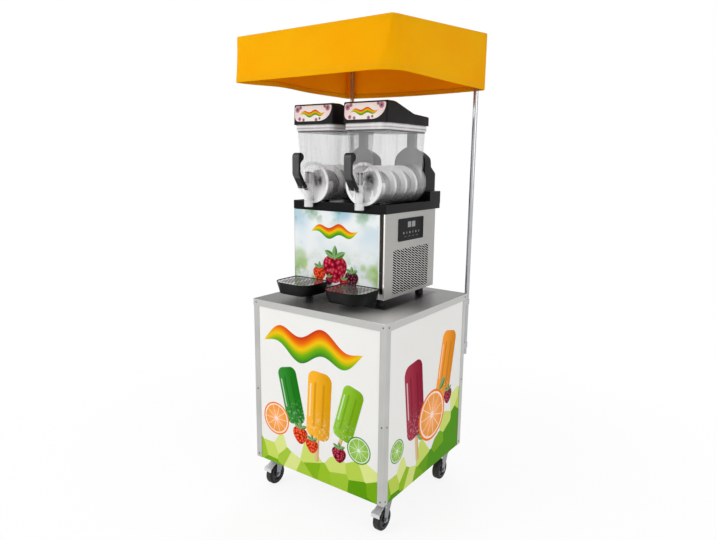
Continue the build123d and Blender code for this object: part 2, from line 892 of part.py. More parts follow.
def machine_side_panel(side):
    outer = machine_right if side > 0 else machine_left
    inner = outer - side * housing_sheet
    panel = block(inner, outer, machine_front, machine_rear, housing_bottom, housing_top)
    flange_y = machine_front if side > 0 else machine_front + front_panel_depth
    panel += block(outer - side * housing_front_flange, outer, flange_y, flange_y + housing_sheet,
                   housing_bottom + base_flange, housing_top)
    return panel - grille_slots(inner, outer)


def machine_back_panel():
    x0, x1 = machine_left + housing_sheet, machine_right - housing_sheet
    panel = block(x0, x1, machine_rear - housing_sheet, machine_rear, housing_bottom, housing_top)
    hole_radius = gland_radius + gland_hole_gap
    hole = rod_y(hole_radius, gland_x, machine_rear - housing_sheet, machine_rear, gland_height)
    return panel - hole


gland_x = machine_offset_x - gland_offset_x


def cord_gland():
    rear = machine_rear
    inside = rear - housing_sheet - gland_nut_height
    body = rod_y(gland_radius, gland_x, inside, rear + gland_nose, gland_height)
    body += rod_y(gland_nut_radius, gland_x, rear, rear + gland_nut_height, gland_height)
    body += rod_y(gland_nut_radius, gland_x, inside, inside + gland_nut_height, gland_height)
    return body - rod_y(gland_bore_radius, gland_x, inside, rear + gland_nose, gland_height)


def tray_hook_places():
    return [x + step for x in bowl_places.values() for step in (-tray_hook_spread, tray_hook_spread)]


tray_hook_z = tray_rim_z - tray_hook_height


def machine_front_panel():
    x0 = machine_left + housing_sheet + front_panel_left_gap
    x1 = machine_right - housing_front_flange - front_panel_gap
    z0, z1 = housing_bottom + front_panel_end_gap, housing_top - front_panel_end_gap
    panel = block(x0, x1, machine_front, machine_front + front_panel_depth, z0, z1)
    panel = fillet(panel.faces().sort_by(Axis.Y)[0].edges(), front_panel_round)
    half = tray_hook_half + tray_hook_play
    slot_half = tray_hook_height / 2 + tray_hook_play
    for x in tray_hook_places():
        panel -= block(x - half, x + half, machine_front, machine_front + front_panel_depth,
                       tray_hook_z - slot_half, tray_hook_z + slot_half)
    return panel


def control_panel():
    face = RectangleRounded(touch_width, touch_height, touch_round)
    plate = extrude(face, touch_thickness)
    return Plane(origin=(machine_right, touch_centre_y, touch_centre_z), x_dir=(0, 1, 0),
                 z_dir=(1, 0, 0)) * plate


# Bowl deck


def tower_outline(x, inset, bottom):
    """A tower seen from the front, with broad round shoulders."""
    half, shoulder, top = tower_half_width - inset, tower_head_round - inset, tower_top - inset
    flat_half = half - shoulder
    outline = block(x - half, x + half, tower_front, deck_rear, bottom, top - shoulder)
    outline += block(x - flat_half, x + flat_half, tower_front, deck_rear, bottom, top)
    outline += [rod_y(shoulder, x + step, tower_front, deck_rear, top - shoulder)
                for step in (-flat_half, flat_half)]
    return outline


def tower(x, inset, bottom):
    """Rear tower behind a bowl, with a stepped back."""
    half = tower_half_width - inset
    profile = [
        (tower_front + inset, bottom),
        (deck_rear - inset, bottom),
        (deck_rear - inset, tower_waist_z - inset),
        (tower_shoulder_y - inset, tower_shoulder_z - inset),
        (tower_neck_y - inset, tower_neck_z - inset),
        (tower_crown_y, tower_top - inset),
        (tower_front + inset, tower_top - inset),
    ]
    return side_profile(profile, x - half, x + half)


def rounded_tower(x):
    body = tower(x, 0, housing_top)
    across = body.edges().filter_by(Axis.X).filter_by(lambda edge: edge.center().Z > plinth_top)
    body = fillet(across.filter_by(lambda edge: edge.center().Y > tower_front), tower_round)
    return body & tower_outline(x, 0, housing_top)


def lamp_disc(x):
    """The round plate that closes the tower behind the bowl."""
    return rod_y(lamp_disc_radius, x, tower_front, tower_front + lamp_disc_depth, lamp_disc_top
                 - lamp_disc_radius)


def lamp_column(x):
    y0, y1 = column_front, column_front + column_depth
    contact_top = rim_z + lamp_contact_height
    column = block(x - column_half_width, x + column_half_width, y0, y1, column_foot_z, contact_top)
    column += block(x - column_half_width, x + column_half_width, lid_rear + lid_rear_gap, y1, rim_z,
                    contact_top)
    return column


def bowl_deck():
    x0, x1 = machine_left - deck_overhang, machine_right + deck_overhang
    slab = block(x0, x1, deck_front, deck_rear, housing_top, deck_top)
    slab = fillet(slab.edges().filter_by(Axis.Z), deck_round)
    slab = fillet(slab.edges().group_by(Axis.Z)[-1], deck_round)
    plinth = block(x0, x1, tower_front, deck_rear, deck_floor, plinth_top)
    slab += fillet(plinth.edges().group_by(Axis.Z)[-1], deck_round)
    slab -= block(x0 + deck_wall, x1 - deck_wall, deck_front + deck_wall, tower_front, deck_floor, deck_top)
    slab -= [rod_y(barrel_radius + running_gap, x, deck_front, tower_front, barrel_z)
             for x in bowl_places.values()]
    inner_front = machine_front + front_panel_depth
    inner_rear = machine_rear - deck_skin
    hollow = block(machine_left + deck_skin, machine_right - deck_skin, inner_front, inner_rear,
                   housing_top, deck_floor - deck_skin)
    for x in bowl_places.values():
        slab += rounded_tower(x) + lamp_disc(x) + lamp_column(x)
        cradle = block(x - cradle_half_width, x + cradle_half_width, cradle_front, cradle_front
                       + cradle_length, deck_floor, barrel_z)
        slab += cradle - rod_y(barrel_radius + running_gap, x, cradle_front, cradle_front + cradle_length,
                               barrel_z)
    slab -= hollow
    slab -= block(x0 + deck_skin, x1 - deck_skin, tower_front + deck_skin, deck_rear - deck_skin, deck_floor,
                  plinth_top - deck_skin)
    for x in bowl_places.values():
        tower_foot = deck_floor - deck_skin
        slab -= tower(x, deck_skin, tower_foot) & tower_outline(x, deck_skin, tower_foot)
        slab -= block(x - tower_half_width + deck_skin, x + tower_half_width - deck_skin, tower_front
                      + deck_skin, inner_rear,
                      housing_top, deck_floor)
        slab -= rod_y(shaft_hole_radius, x, tower_front, tower_front + deck_skin, barrel_z)
    return slab


# Bowls


def hopper(x, inset):
    """The upper part of a bowl, from the barrel's axis up to the rim."""
    rim_y = (rim_front + rim_rear) / 2
    low_front, low_rear = bowl_front + hopper_front_inset, bowl_rear - hopper_rear_inset
    rim = Pos(x, rim_y, rim_z) * RectangleRounded(
        2 * (rim_half_width - inset), rim_rear - rim_front - 2 * inset, rim_corner - inset)
    low = Pos(x, (low_front + low_rear) / 2, barrel_z) * RectangleRounded(
        2 * (barrel_radius - inset), low_rear - low_front - 2 * inset, hopper_corner - inset)
    return loft([low, rim], ruled=True)


def bowl(x):
    rim_y = (rim_front + rim_rear) / 2
    band = Pos(x, rim_y, rim_z - rim_band_height) * extrude(
        RectangleRounded(2 * lid_half_width, rim_rear - rim_front + 2 * rim_band, rim_corner
                         + rim_band), rim_band_height)
    solid = hopper(x, 0) + rod_y(barrel_radius, x, bowl_front, bowl_rear, barrel_z) + band
    solid += rod_z(spout_radius, x, spout_y, spout_bottom, spout_top)
    solid += block(x - spout_bridge_half, x + spout_bridge_half, spout_y, bowl_front, spout_bridge_bottom,
                   spout_top)
    for side in (-1, 1):
        x0, x1 = x + side * ear_inner, x + side * (ear_inner + ear_thickness)
        solid += block(x0, x1, tap_pivot_y, spout_y, tap_pivot_z - ear_radius, tap_pivot_z + ear_radius)
        solid += rod_x(ear_radius, x0, x1, tap_pivot_y, tap_pivot_z)
    solid -= hopper(x, bowl_wall)
    solid -= rod_y(barrel_radius - bowl_wall, x, bowl_front + bowl_wall, bowl_rear - bowl_wall, barrel_z)
    solid -= rod_y(bowl_mouth_radius, x, bowl_rear - bowl_wall, bowl_rear, barrel_z)
    solid -= rod_z(spout_bore_radius, x, spout_y, spout_bottom, spout_top)
    solid -= rod_y(port_radius, x, spout_y, bowl_front + bowl_wall, port_z)
    slot_low = tap_pivot_z - tap_travel / 2 - tap_arm_radius - tap_slot_end_gap
    slot_high = tap_pivot_z + tap_travel / 2 + tap_arm_radius + tap_slot_end_gap
    solid -= block(x - tap_slot_half, x + tap_slot_half, spout_y - spout_radius, spout_y, slot_low, slot_high)
    ear_end = ear_inner + ear_thickness
    return solid - rod_x(tap_peg_radius + bearing_clearance, x - ear_end, x + ear_end, tap_pivot_y,
                         tap_pivot_z)


def lid_outline(inset):
    return [
        (lid_front + inset, rim_z),
        (lid_front_top_y + inset, lid_front_top_z - inset),
        (lid_flat_end_y, lid_flat_end_z - inset),
        (lid_slope_end_y, lid_slope_end_z - inset),
        (lid_rear - inset, lid_rear_top_z - inset),
        (lid_rear - inset, rim_z),
    ]


def lid(x):
    shell = side_profile(lid_outline(0), x - lid_half_width, x + lid_half_width)
    across = shell.edges().filter_by(Axis.X).filter_by(lambda edge: edge.center().Z > rim_z).sort_by(Axis.Y)
    shell = fillet(across[1:-1], lid_bend_round)
    ends = shell.edges().filter_by(Axis.X).filter_by(
        lambda edge: edge.center().Z > rim_z and not lid_flat_middle_y < edge.center().Y < lid_rear_middle_y)
    shell = fillet(ends, lid_round)
    upper = shell.edges().filter_by(lambda edge: edge.center().Z > rim_z).filter_by(Axis.X, reverse=True)
    shell = fillet(upper, lid_round)
    return shell - side_profile(lid_outline(lid_skin), x - lid_half_width + lid_skin, x + lid_half_width
                                - lid_skin)


# Taps

arm_tip_y = tap_pivot_y + tap_arm_length * cos(radians(tap_arm_rest))
arm_tip_z = tap_pivot_z - tap_arm_length * sin(radians(tap_arm_rest))


def lever(x):
    """The hand lever: a foot leaning forward from the pivot, a straight stem and a hooked, rounded head."""
    x0 = x - lever_half_width
    stem_front = tap_pivot_y - lever_forward
    stem_back = stem_front + lever_stem_depth
    head_back = stem_front + lever_head_depth
    head_z = lever_top_z - lever_head_depth / 2
    pivot = Vector(x0, tap_pivot_y, tap_pivot_z)
    lean = Vector(0, (stem_front + stem_back) / 2 - tap_pivot_y, lever_knee_rise).normalized()
    across = Vector(0, lean.Z, -lean.Y) * (lever_foot_depth / 2)
    foot_front, foot_back = pivot - across, pivot + across
    slope = lean.Z / lean.Y
    knee_front = (x0, stem_front, foot_front.Z + (stem_front - foot_front.Y) * slope)
    knee_back = (x0, stem_back, foot_back.Z + (stem_back - foot_back.Y) * slope)
    head_points = (x0, stem_front, head_z), (x0, head_back, head_z)
    neck = (x0, stem_back, lever_neck_z)
    up, down = (0, 0, 1), (0, 0, -1)
    edges = [Line(foot_front, knee_front), Line(knee_front, head_points[0])]
    edges += [TangentArc(*head_points, tangent=up), Spline(head_points[1], neck, tangents=[down, down])]
    edges += [Line(neck, knee_back), Line(knee_back, foot_back), Line(foot_back, foot_front)]
    outline = make_face(Wire(edges))
    knees = outline.vertices().filter_by(
        lambda vertex: tap_pivot_z + lever_foot_depth < vertex.Z < lever_neck_z - lever_round)
    grip = extrude(fillet(knees, lever_knee_round), amount=2 * lever_half_width, dir=(1, 0, 0))
    cheeks = grip.faces().filter_by(Axis.X).sort_by(Axis.X)
    rims = cheeks[0].edges() + cheeks[-1].edges()
    above_foot = tap_pivot_z + lever_foot_depth / 2
    return fillet(rims.filter_by(lambda edge: edge.center().Z > above_foot), lever_round)


def tap_handle(x):
    """The lever with a hub between the tap's ears, a cheek outside each ear and a peg through them."""
    x0, x1 = x - lever_half_width, x + lever_half_width
    handle = lever(x) + rod_x(tap_hub_radius, x0, x1, tap_pivot_y, tap_pivot_z)
    for side in (-1, 1):
        slot_in = x + side * (ear_inner - tap_side_gap)
        slot_out = x + side * (ear_inner + ear_thickness + tap_side_gap)
        handle -= rod_x(ear_radius + ear_swing_gap, slot_in, slot_out, tap_pivot_y, tap_pivot_z)
    handle += rod_x(tap_peg_radius, x0, x1, tap_pivot_y, tap_pivot_z)
    along = Plane(origin=(x, tap_pivot_y, tap_pivot_z), x_dir=(1, 0, 0),
                  z_dir=(0, arm_tip_y - tap_pivot_y, arm_tip_z - tap_pivot_z))
    arm = along * Pos(0, 0, tap_arm_length / 2) * Box(2 * tap_arm_half_width, 2 * tap_arm_radius,
                                                      tap_arm_length)
    arm += rod_x(tap_arm_radius, x - tap_arm_half_width, x + tap_arm_half_width, arm_tip_y, arm_tip_z)
    return handle + arm


def tap_piston(x):
    radius = spout_bore_radius - piston_clearance
    piston = rod_z(radius, x, spout_y, piston_bottom, piston_top)
    half = tap_arm_radius + groove_play
    groove = rod_z(radius, x, spout_y, arm_tip_z - half, arm_tip_z + half)
    piston -= groove - rod_z(groove_core_radius, x, spout_y, arm_tip_z - half, arm_tip_z + half)
    for index in range(ring_groove_count):
        z = piston_bottom + ring_groove_height * (1 + 2 * index)
        ring = rod_z(radius, x, spout_y, z, z + ring_groove_height)
        piston -= ring - rod_z(radius - ring_groove_depth, x, spout_y, z, z + ring_groove_height)
    return piston


# Cooling drums, augers and their drive


def cooling_drum(x):
    drum = rod_y(drum_radius, x, drum_front, tower_front, barrel_z)
    drum -= rod_y(drum_radius - drum_wall, x, drum_front + drum_wall, tower_front, barrel_z)
    flange = rod_y(seal_flange_radius, x, tower_front - seal_flange_depth, tower_front, barrel_z)
    drum += flange - rod_y(drum_radius - drum_wall, x, tower_front - seal_flange_depth, tower_front, barrel_z)
    return drum - rod_y(shaft_radius + bearing_clearance, x, drum_front, drum_front + drum_wall, barrel_z)


def bowl_seal(x):
    radius = bowl_mouth_radius - running_gap
    y0, y1 = tower_front - seal_flange_depth, tower_front
    return rod_y(radius, x, y0, y1, barrel_z) - rod_y(seal_flange_radius, x, y0, y1, barrel_z)


def auger(x):
    """A helical blade round the drum, held at its front by a hub with two arms."""
    inner = drum_radius + auger_clearance
    middle = (inner + auger_radius) / 2
    length = auger_rear - auger_front - auger_blade
    pitch = length / auger_turns
    path = Helix(pitch, length, middle)
    section = Plane(origin=path @ 0, x_dir=(1, 0, 0), z_dir=path % 0) * Rectangle(auger_radius - inner,
                                                                                  auger_blade)
    blade = sweep(section, path=path, is_frenet=True)
    blade = Pos(x, auger_front + auger_blade / 2, barrel_z) * Rot(-90, 0, 0) * blade
    y0, y1 = auger_front - auger_hub_depth, auger_front
    hub = rod_y(auger_hub_radius, x, y0, y1, barrel_z)
    half = auger_arm_width / 2
    post_in, post_out = x + inner + auger_post_inset, x + auger_radius - auger_post_inset
    arm = block(x, post_out, y0, y1, barrel_z - half, barrel_z + half)
    post = block(post_in, post_out, y0, y1 + auger_blade, barrel_z - half, barrel_z + half)
    solid = blade + (hub + arm + post)
    return solid - rod_y(shaft_radius, x, y0, y1, barrel_z)


def drive_shaft(x):
    return rod_y(shaft_radius, x, auger_front - auger_hub_depth, tower_front + deck_skin
                 + shaft_engagement, barrel_z)


def gear_motor(x):
    y0 = tower_front + deck_skin
    y1 = y0 + gearbox_depth
    half = gearbox_size / 2
    body = block(x - half, x + half, y0, y1, barrel_z - half, barrel_z + half)
    body += rod_y(motor_radius, x, y1, y1 + motor_length, barrel_z)
    return body - rod_y(shaft_radius + bearing_clearance, x, y0, y0 + shaft_engagement + running_gap,
                        barrel_z)


# Drip trays


def tray_plan(inset):
    """A tray's outline seen from above, square at the back and rounded at the front."""
    half = tray_width / 2 - inset
    front, back = -tray_depth + inset, -inset
    face = make_face(Polyline((-half, back), (half, back), (half, front), (-half, front), close=True))
    corners = face.vertices().sort_by(Axis.Y)
    face = fillet(corners[:2], tray_front_round - inset)
    return fillet(face.vertices().sort_by(Axis.Y)[-2:], tray_rear_round - inset)


def tray_block(inset, z0, z1):
    """The outline at this inset from the rim, tapering downwards."""
    narrowing = (tray_rim_z - z1) * tan(radians(tray_taper))
    body = extrude(tray_plan(inset + narrowing), amount=-(z1 - z0), taper=tray_taper)
    return Pos(0, tray_back, z1) * body


def drip_tray(x):
    ledge_top = tray_rim_z - tray_ledge_drop
    ledge_under = ledge_top - tray_ledge_thickness
    solid = tray_block(0, tray_bottom_z, tray_rim_z)
    solid -= tray_block(tray_wall, tray_bottom_z + tray_wall, tray_rim_z)
    ledge = tray_block(tray_wall / 2, ledge_under, ledge_top)
    solid += ledge - tray_block(tray_wall + tray_ledge, ledge_under, ledge_top)
    for step in (-tray_hook_spread, tray_hook_spread):
        solid += block(step - tray_hook_half, step + tray_hook_half, tray_back - tray_wall, tray_back
                       + tray_hook_reach,
                       tray_hook_z - tray_hook_height / 2, tray_hook_z + tray_hook_height / 2)
    return Pos(x, 0, 0) * solid


def drip_grid(x):
    z0 = tray_rim_z - tray_ledge_drop
    inset = tray_wall + grid_play + tray_ledge_drop * tan(radians(tray_taper))
    grid = Pos(0, tray_back, z0) * extrude(tray_plan(inset), grid_thickness)
    slot = extrude(SlotOverall(grid_slot_length, grid_slot_width), grid_thickness)
    first = tray_back - tray_depth / 2 - (grid_slot_rows - 1) / 2 * grid_slot_pitch
    for row in range(grid_slot_rows):
        for side in (-1, 1):
            centre = side * (grid_slot_length + grid_bar) / 2
            grid -= Pos(centre, first + row * grid_slot_pitch, z0) * slot
    return Pos(x, 0, 0) * grid


# Cooling plant

condenser_x1 = machine_right - housing_sheet - condenser_from_panel
condenser_x0 = condenser_x1 - condenser_depth
plant_floor = housing_bottom + base_sheet
fan_z = plant_floor + condenser_height / 2
fan_x1 = condenser_x0
fan_x0 = fan_x1 - fan_shroud_depth


def condenser():
    """A tube core between two end plates, with thin fins along it."""
    y0, y1 = grille_centre_y - condenser_width / 2, grille_centre_y + condenser_width / 2
    z1 = plant_floor + condenser_height
    middle = (condenser_x0 + condenser_x1) / 2
    core = block(middle - condenser_core / 2, middle + condenser_core / 2, y0, y1, plant_floor, z1)
    count = int(condenser_width // condenser_fin_pitch)
    pitch = (condenser_width - condenser_fin) / count
    for index in range(count + 1):
        y = y0 + index * pitch
        core += block(condenser_x0, condenser_x1, y, y + condenser_fin, plant_floor, z1)
    return core


def fan_mount():
    """A square shroud on the condenser with a round duct, two struts and the motor between them."""
    outer = fan_radius + fan_tip_gap + fan_shroud_wall
    y0, y1 = grille_centre_y - outer, grille_centre_y + outer
    duct = fan_radius + fan_tip_gap
    mount = block(fan_x0, fan_x1, y0, y1, plant_floor, fan_z + outer)
    mount -= rod_x(duct, fan_x0, fan_x1, grille_centre_y, fan_z)
    motor_x0 = fan_x0 - fan_motor_length
    half = fan_strut_width / 2
    strut = block(fan_x0 - fan_shroud_wall, fan_x0, y0, y1, fan_z - half, fan_z + half)
    motor = rod_x(fan_motor_radius, motor_x0, fan_x0, grille_centre_y, fan_z)
    return mount + strut + motor - rod_x(fan_spindle_radius + bearing_clearance, motor_x0, fan_x0,
                                         grille_centre_y, fan_z)


def fan_rotor():
    x0 = fan_x0 + running_gap
    x1 = x0 + fan_blade_depth
    rotor = rod_x(fan_hub_radius, x0, x1, grille_centre_y, fan_z)
    rotor += rod_x(fan_spindle_radius, x0 - fan_motor_length / 2, x0, grille_centre_y, fan_z)
    reach = fan_radius - fan_hub_radius / 2
    lean = radians(fan_blade_pitch)
    width = (fan_blade_depth - fan_blade_thickness * cos(lean)) / sin(lean)
    flat = Pos(0, 0, fan_hub_radius / 2 + reach / 2) * Box(fan_blade_thickness, width, reach)
    for index in range(fan_blade_count):
        turn = Pos((x0 + x1) / 2, grille_centre_y, fan_z) * Rot(360 / fan_blade_count * index, 0, 0)
        rotor += turn * Rot(0, 0, fan_blade_pitch) * flat
    return rotor & rod_x(fan_radius, x0 - fan_motor_length, x1, grille_centre_y, fan_z)


def compressor():
    z0 = plant_floor + compressor_foot_thickness
    pot = rod_z(compressor_radius, compressor_x, compressor_y, z0, z0 + compressor_height)
    pot = fillet(pot.edges().group_by(Axis.Z)[-1], compressor_round)
    half = compressor_foot / 2
    foot = block(compressor_x - half, compressor_x + half, compressor_y - half / 2, compressor_y
                 + half / 2, plant_floor, z0)
    return pot + foot


# Every piece as its own file

os.makedirs("parts", exist_ok=True)

save("worktop", worktop())
save("corner_trims", *[drill_rivets(corner_trim(place)) for place in castor_places.values()])
save("cart_frame", cart_frame())
save("floor_board", floor_board())
save("front_panel", front_panel())
save("left_panel", side_panel(-1))
save("right_panel", side_panel(1))
save("panel_rivets", *[rivet(*place) for place in rivet_places()])
save("castor_plates", *[castor_plate(x, y) for x, y in castor_centres()])
save("castor_bolts", *[castor_bolt(x, y) for x, y in castor_bolt_places()])
save("rear_door", rear_door())
save("door_hinge_leaves", *[hinge_half(z, -1) for z in hinge_centres])
save("frame_hinge_leaves", *[hinge_half(z, 1) for z in hinge_centres], *[hinge_pin(z) for z in hinge_centres])
save("door_latch", door_latch())

for place_name, (place_x, place_y) in castor_places.items():
    save(f"castor_fork_{place_name}", *castor_fork(place_x * castor_x, place_y * castor_y))
    save(f"castor_wheel_{place_name}", *castor_wheel(place_x * castor_x, place_y * castor_y))
    if place_y < 0:
        save(f"brake_pedal_{place_name}", brake_pedal(place_x * castor_x, place_y * castor_y))

save("canopy_cover", canopy_cover())
save("canopy_frame", canopy_frame())
save("canopy_posts", canopy_post(-1), canopy_post(1))
clamp_levels = (worktop_height - clamp_end_distance, worktop_height - post_below_worktop + clamp_end_distance)
save("post_clamps", *[post_clamp(side, z) for side in (-1, 1) for z in clamp_levels])

save("machine_feet", *machine_feet())
save("machine_base", machine_base())
save("machine_left_panel", machine_side_panel(-1))
save("machine_right_panel", machine_side_panel(1))
save("machine_back_panel", machine_back_panel())
save("machine_front_panel", machine_front_panel())
save("control_panel", control_panel())
save("cord_gland", cord_gland())
save("bowl_deck", bowl_deck())
save("cooling_drums", *[cooling_drum(x) for x in bowl_places.values()])
save("bowl_seals", *[bowl_seal(x) for x in bowl_places.values()])
save("gear_motors", *[gear_motor(x) for x in bowl_places.values()])
for bowl_name, bowl_x in bowl_places.items():
    save(f"bowl_{bowl_name}", bowl(bowl_x))
    save(f"lid_{bowl_name}", lid(bowl_x))
    save(f"auger_{bowl_name}", auger(bowl_x))
    save(f"drive_shaft_{bowl_name}", drive_shaft(bowl_x))
    save(f"tap_handle_{bowl_name}", tap_handle(bowl_x))
    save(f"tap_piston_{bowl_name}", tap_piston(bowl_x))
    save(f"drip_tray_{bowl_name}", drip_tray(bowl_x))
    save(f"drip_grid_{bowl_name}", drip_grid(bowl_x))

save("condenser", condenser())
save("fan_mount", fan_mount())
save("fan_rotor", fan_rotor())
save("compressor", compressor())
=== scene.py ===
# %% [markdown]
# # A slush machine cart
# A wheeled cabinet carries a two-bowl slush machine under an orange cloth canopy.
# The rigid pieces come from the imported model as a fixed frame, so this lesson gives them
# their finishes, hangs the cloth and puts the printed signs on. Everything is in metres, with +Z up
# and the front of the cart towards -Y.

# %% Load the frame
import math

import bpy
from mathutils import Matrix, Vector


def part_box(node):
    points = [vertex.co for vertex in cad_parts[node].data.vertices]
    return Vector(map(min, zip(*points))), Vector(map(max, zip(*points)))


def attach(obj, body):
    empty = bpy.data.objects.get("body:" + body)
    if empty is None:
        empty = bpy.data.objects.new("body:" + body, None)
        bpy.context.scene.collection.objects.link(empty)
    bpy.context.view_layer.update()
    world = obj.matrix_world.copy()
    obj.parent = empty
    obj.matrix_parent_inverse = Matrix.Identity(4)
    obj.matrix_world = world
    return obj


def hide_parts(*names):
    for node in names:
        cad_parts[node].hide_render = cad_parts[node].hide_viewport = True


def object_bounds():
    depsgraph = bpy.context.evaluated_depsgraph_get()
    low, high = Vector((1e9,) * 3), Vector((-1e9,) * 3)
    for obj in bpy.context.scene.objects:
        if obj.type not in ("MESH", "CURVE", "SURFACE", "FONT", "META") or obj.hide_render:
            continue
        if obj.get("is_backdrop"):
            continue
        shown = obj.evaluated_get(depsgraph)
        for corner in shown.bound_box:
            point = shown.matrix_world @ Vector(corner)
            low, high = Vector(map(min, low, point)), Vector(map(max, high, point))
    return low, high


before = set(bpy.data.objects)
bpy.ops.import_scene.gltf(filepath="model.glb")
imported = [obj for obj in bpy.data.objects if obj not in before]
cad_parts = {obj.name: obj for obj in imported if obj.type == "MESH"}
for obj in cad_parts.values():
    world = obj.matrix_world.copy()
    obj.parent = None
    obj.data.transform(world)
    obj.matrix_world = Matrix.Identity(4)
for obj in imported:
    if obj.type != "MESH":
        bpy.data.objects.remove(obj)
cad_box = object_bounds()
scene = bpy.context.scene
print("pieces in the frame:", len(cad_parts), "box", cad_box)

# %% [markdown]
# ## Finishes as sums
# A finish on a real product is paint, print and wear on top of each other. Shader nodes can say
# all of that, but wiring them by hand hides the idea. A small class around a socket lets the masks
# be written as ordinary sums, and one method makes every other node.


# %% Sockets that can be added up
def maths(operation, swapped=False):
    """An operator between a socket and a number or another socket."""
    def work(self, *others):
        values = (*others, self) if swapped else (self, *others)
        return self.nodes.maths(operation, *values)
    return work


class Value:
    """A shader socket that can stand in an expression."""
    __add__, __radd__ = maths("ADD"), maths("ADD", True)
    __sub__, __rsub__ = maths("SUBTRACT"), maths("SUBTRACT", True)
    __mul__, __rmul__ = maths("MULTIPLY"), maths("MULTIPLY", True)
    __truediv__, __rtruediv__ = maths("DIVIDE"), maths("DIVIDE", True)
    __pow__, __rpow__ = maths("POWER"), maths("POWER", True)
    __abs__ = maths("ABSOLUTE")

    def __init__(self, nodes, socket):
        self.nodes, self.socket = nodes, socket


# %% A tree of nodes
mix_mask, mix_low, mix_high, mix_result = 0, 6, 7, 2
tilted, fully_turned = 0.5, 0.7
# Layers of detail in a noise.
plain, some, rich = 1.0, 3.0, 4.0


class Nodes:
    """A node tree: one method for any node, and helpers for the marks it makes."""

    def __init__(self, tree, coordinates):
        self.tree = tree
        self.place = self.node("ShaderNodeTexCoord", output=coordinates)
        self.x, self.y, self.z = self.parts(self.place)

    def node(self, kind, settings=None, inputs=(), output=0):
        made = self.tree.nodes.new(kind)
        for key, value in (settings or {}).items():
            if key == "stops":
                self.set_stops(made.color_ramp, value)
            else:
                setattr(made, key, value)
        pairs = inputs.items() if isinstance(inputs, dict) else enumerate(inputs)
        for key, value in pairs:
            self.feed(made.inputs[key], value)
        return Value(self, made.outputs[output])

    def set_stops(self, ramp, stops):
        while len(ramp.elements) < len(stops):
            ramp.elements.new(1.0)
        for element, (position, colour) in zip(ramp.elements, stops):
            element.position = position
            element.color = (*colour, 1.0)

    def feed(self, socket, value):
        if isinstance(value, Value):
            self.tree.links.new(value.socket, socket)
        elif socket.type == "RGBA":
            socket.default_value = (*value, 1.0)
        else:
            socket.default_value = value

    def parts(self, vector):
        split = self.node("ShaderNodeSeparateXYZ", inputs=[vector]).socket.node
        return [Value(self, socket) for socket in split.outputs]

    def mix(self, mask, low, high):
        """One colour, or another where the mask is 1."""
        inputs = {mix_mask: mask, mix_low: low, mix_high: high}
        return self.node("ShaderNodeMix", {"data_type": "RGBA"}, inputs, output=mix_result)

    def soft(self, value, low, high):
        """0 below low, 1 above high and a smooth step between; low may be the larger."""
        inputs = {"Value": value, "From Min": low, "From Max": high}
        return self.node("ShaderNodeMapRange", {"interpolation_type": "SMOOTHSTEP"}, inputs)

    def noise(self, scale, detail=2.0, stretch=(1.0, 1.0, 1.0)):
        moved = self.node("ShaderNodeMapping", inputs={"Vector": self.place, "Scale": stretch})
        return self.node("ShaderNodeTexNoise", inputs={"Vector": moved, "Scale": scale, "Detail": detail})

    def mottle(self, low, high, *noise):
        """Clear patches in a noise, between two of its levels."""
        return self.soft(self.noise(*noise), low, high)

    def maths(self, operation, *values):
        return self.node("ShaderNodeMath", {"operation": operation}, values)

    def sine(self, value):
        return self.maths("SINE", value)

    def wave(self, value, pitch):
        """A sine that comes round once in every pitch."""
        return self.sine(value * (2 * math.pi / pitch))

    def rounded(self, value):
        return self.maths("ROUND", value)

    def larger(self, first, second):
        return self.maths("MAXIMUM", first, second)

    def smaller(self, first, second):
        return self.maths("MINIMUM", first, second)

    def ramp(self, value, stops):
        return self.node("ShaderNodeValToRGB", {"stops": stops}, [value])

    def inside(self, u, v, low, high, fade):
        """1 inside a rectangle, fading out over a distance around it."""
        level = self.soft(u, low[0] - fade, low[0]) * self.soft(u, high[0] + fade, high[0])
        return level * self.soft(v, low[1] - fade, low[1]) * self.soft(v, high[1] + fade, high[1])

    def faces(self, axis, side):
        """1 on faces that look along an axis (0, 1 or 2 for x, y or z), on the side 1 or -1."""
        outward = self.parts(self.node("ShaderNodeTexCoord", output="Normal"))[axis]
        return self.soft(outward, side * tilted, side * fully_turned)

    def reach(self, u, v, place):
        """How far a point is from a place."""
        return ((u - place[0]) ** 2.0 + (v - place[1]) ** 2.0) ** 0.5


# %% A finish
class Finish(Nodes):
    """A material with its main shader."""

    def __init__(self, name, colour, roughness, metallic=0.0, specular=0.5):
        self.material = bpy.data.materials.new(name)
        self.material.use_nodes = True
        super().__init__(self.material.node_tree, "Object")
        self.shader = self.tree.nodes["Principled BSDF"]
        self.set("Base Color", colour)
        self.set("Roughness", roughness)
        self.set("Metallic", metallic)
        self.set("Specular IOR Level", specular)
        self.picture = colour

    def set(self, socket, value):
        self.feed(self.shader.inputs[socket], value)

    def lay(self, mask, colour):
        """Put a colour over what is there, where the mask is 1."""
        self.picture = self.mix(mask, self.picture, colour)
        self.set("Base Color", self.picture)

    def paint(self, mask, low, high):
        self.picture = low
        self.lay(mask, high)

    def bump(self, height, distance):
        self.set("Normal", self.node("ShaderNodeBump", inputs={"Height": height, "Distance": distance}))

    def blend_with(self, kind, share, **inputs):
        """Mix the main shader with a share of another one."""
        main = Value(self, self.shader.outputs[0])
        mixed = self.node("ShaderNodeMixShader", inputs=[share, main, self.node(kind, inputs=inputs)])
        self.feed(self.tree.nodes["Material Output"].inputs["Surface"], mixed)


def srgb(red, green, blue):
    """A colour as it is seen, 0 to 255, in a shader's linear numbers."""
    shares = [channel / 255 for channel in (red, green, blue)]
    return tuple(s / 12.92 if s <= 0.04045 else ((s + 0.055) / 1.055) ** 2.4 for s in shares)


def grey(level):
    return srgb(level, level, level)


def darker(colour, share):
    return tuple(channel * share for channel in colour)


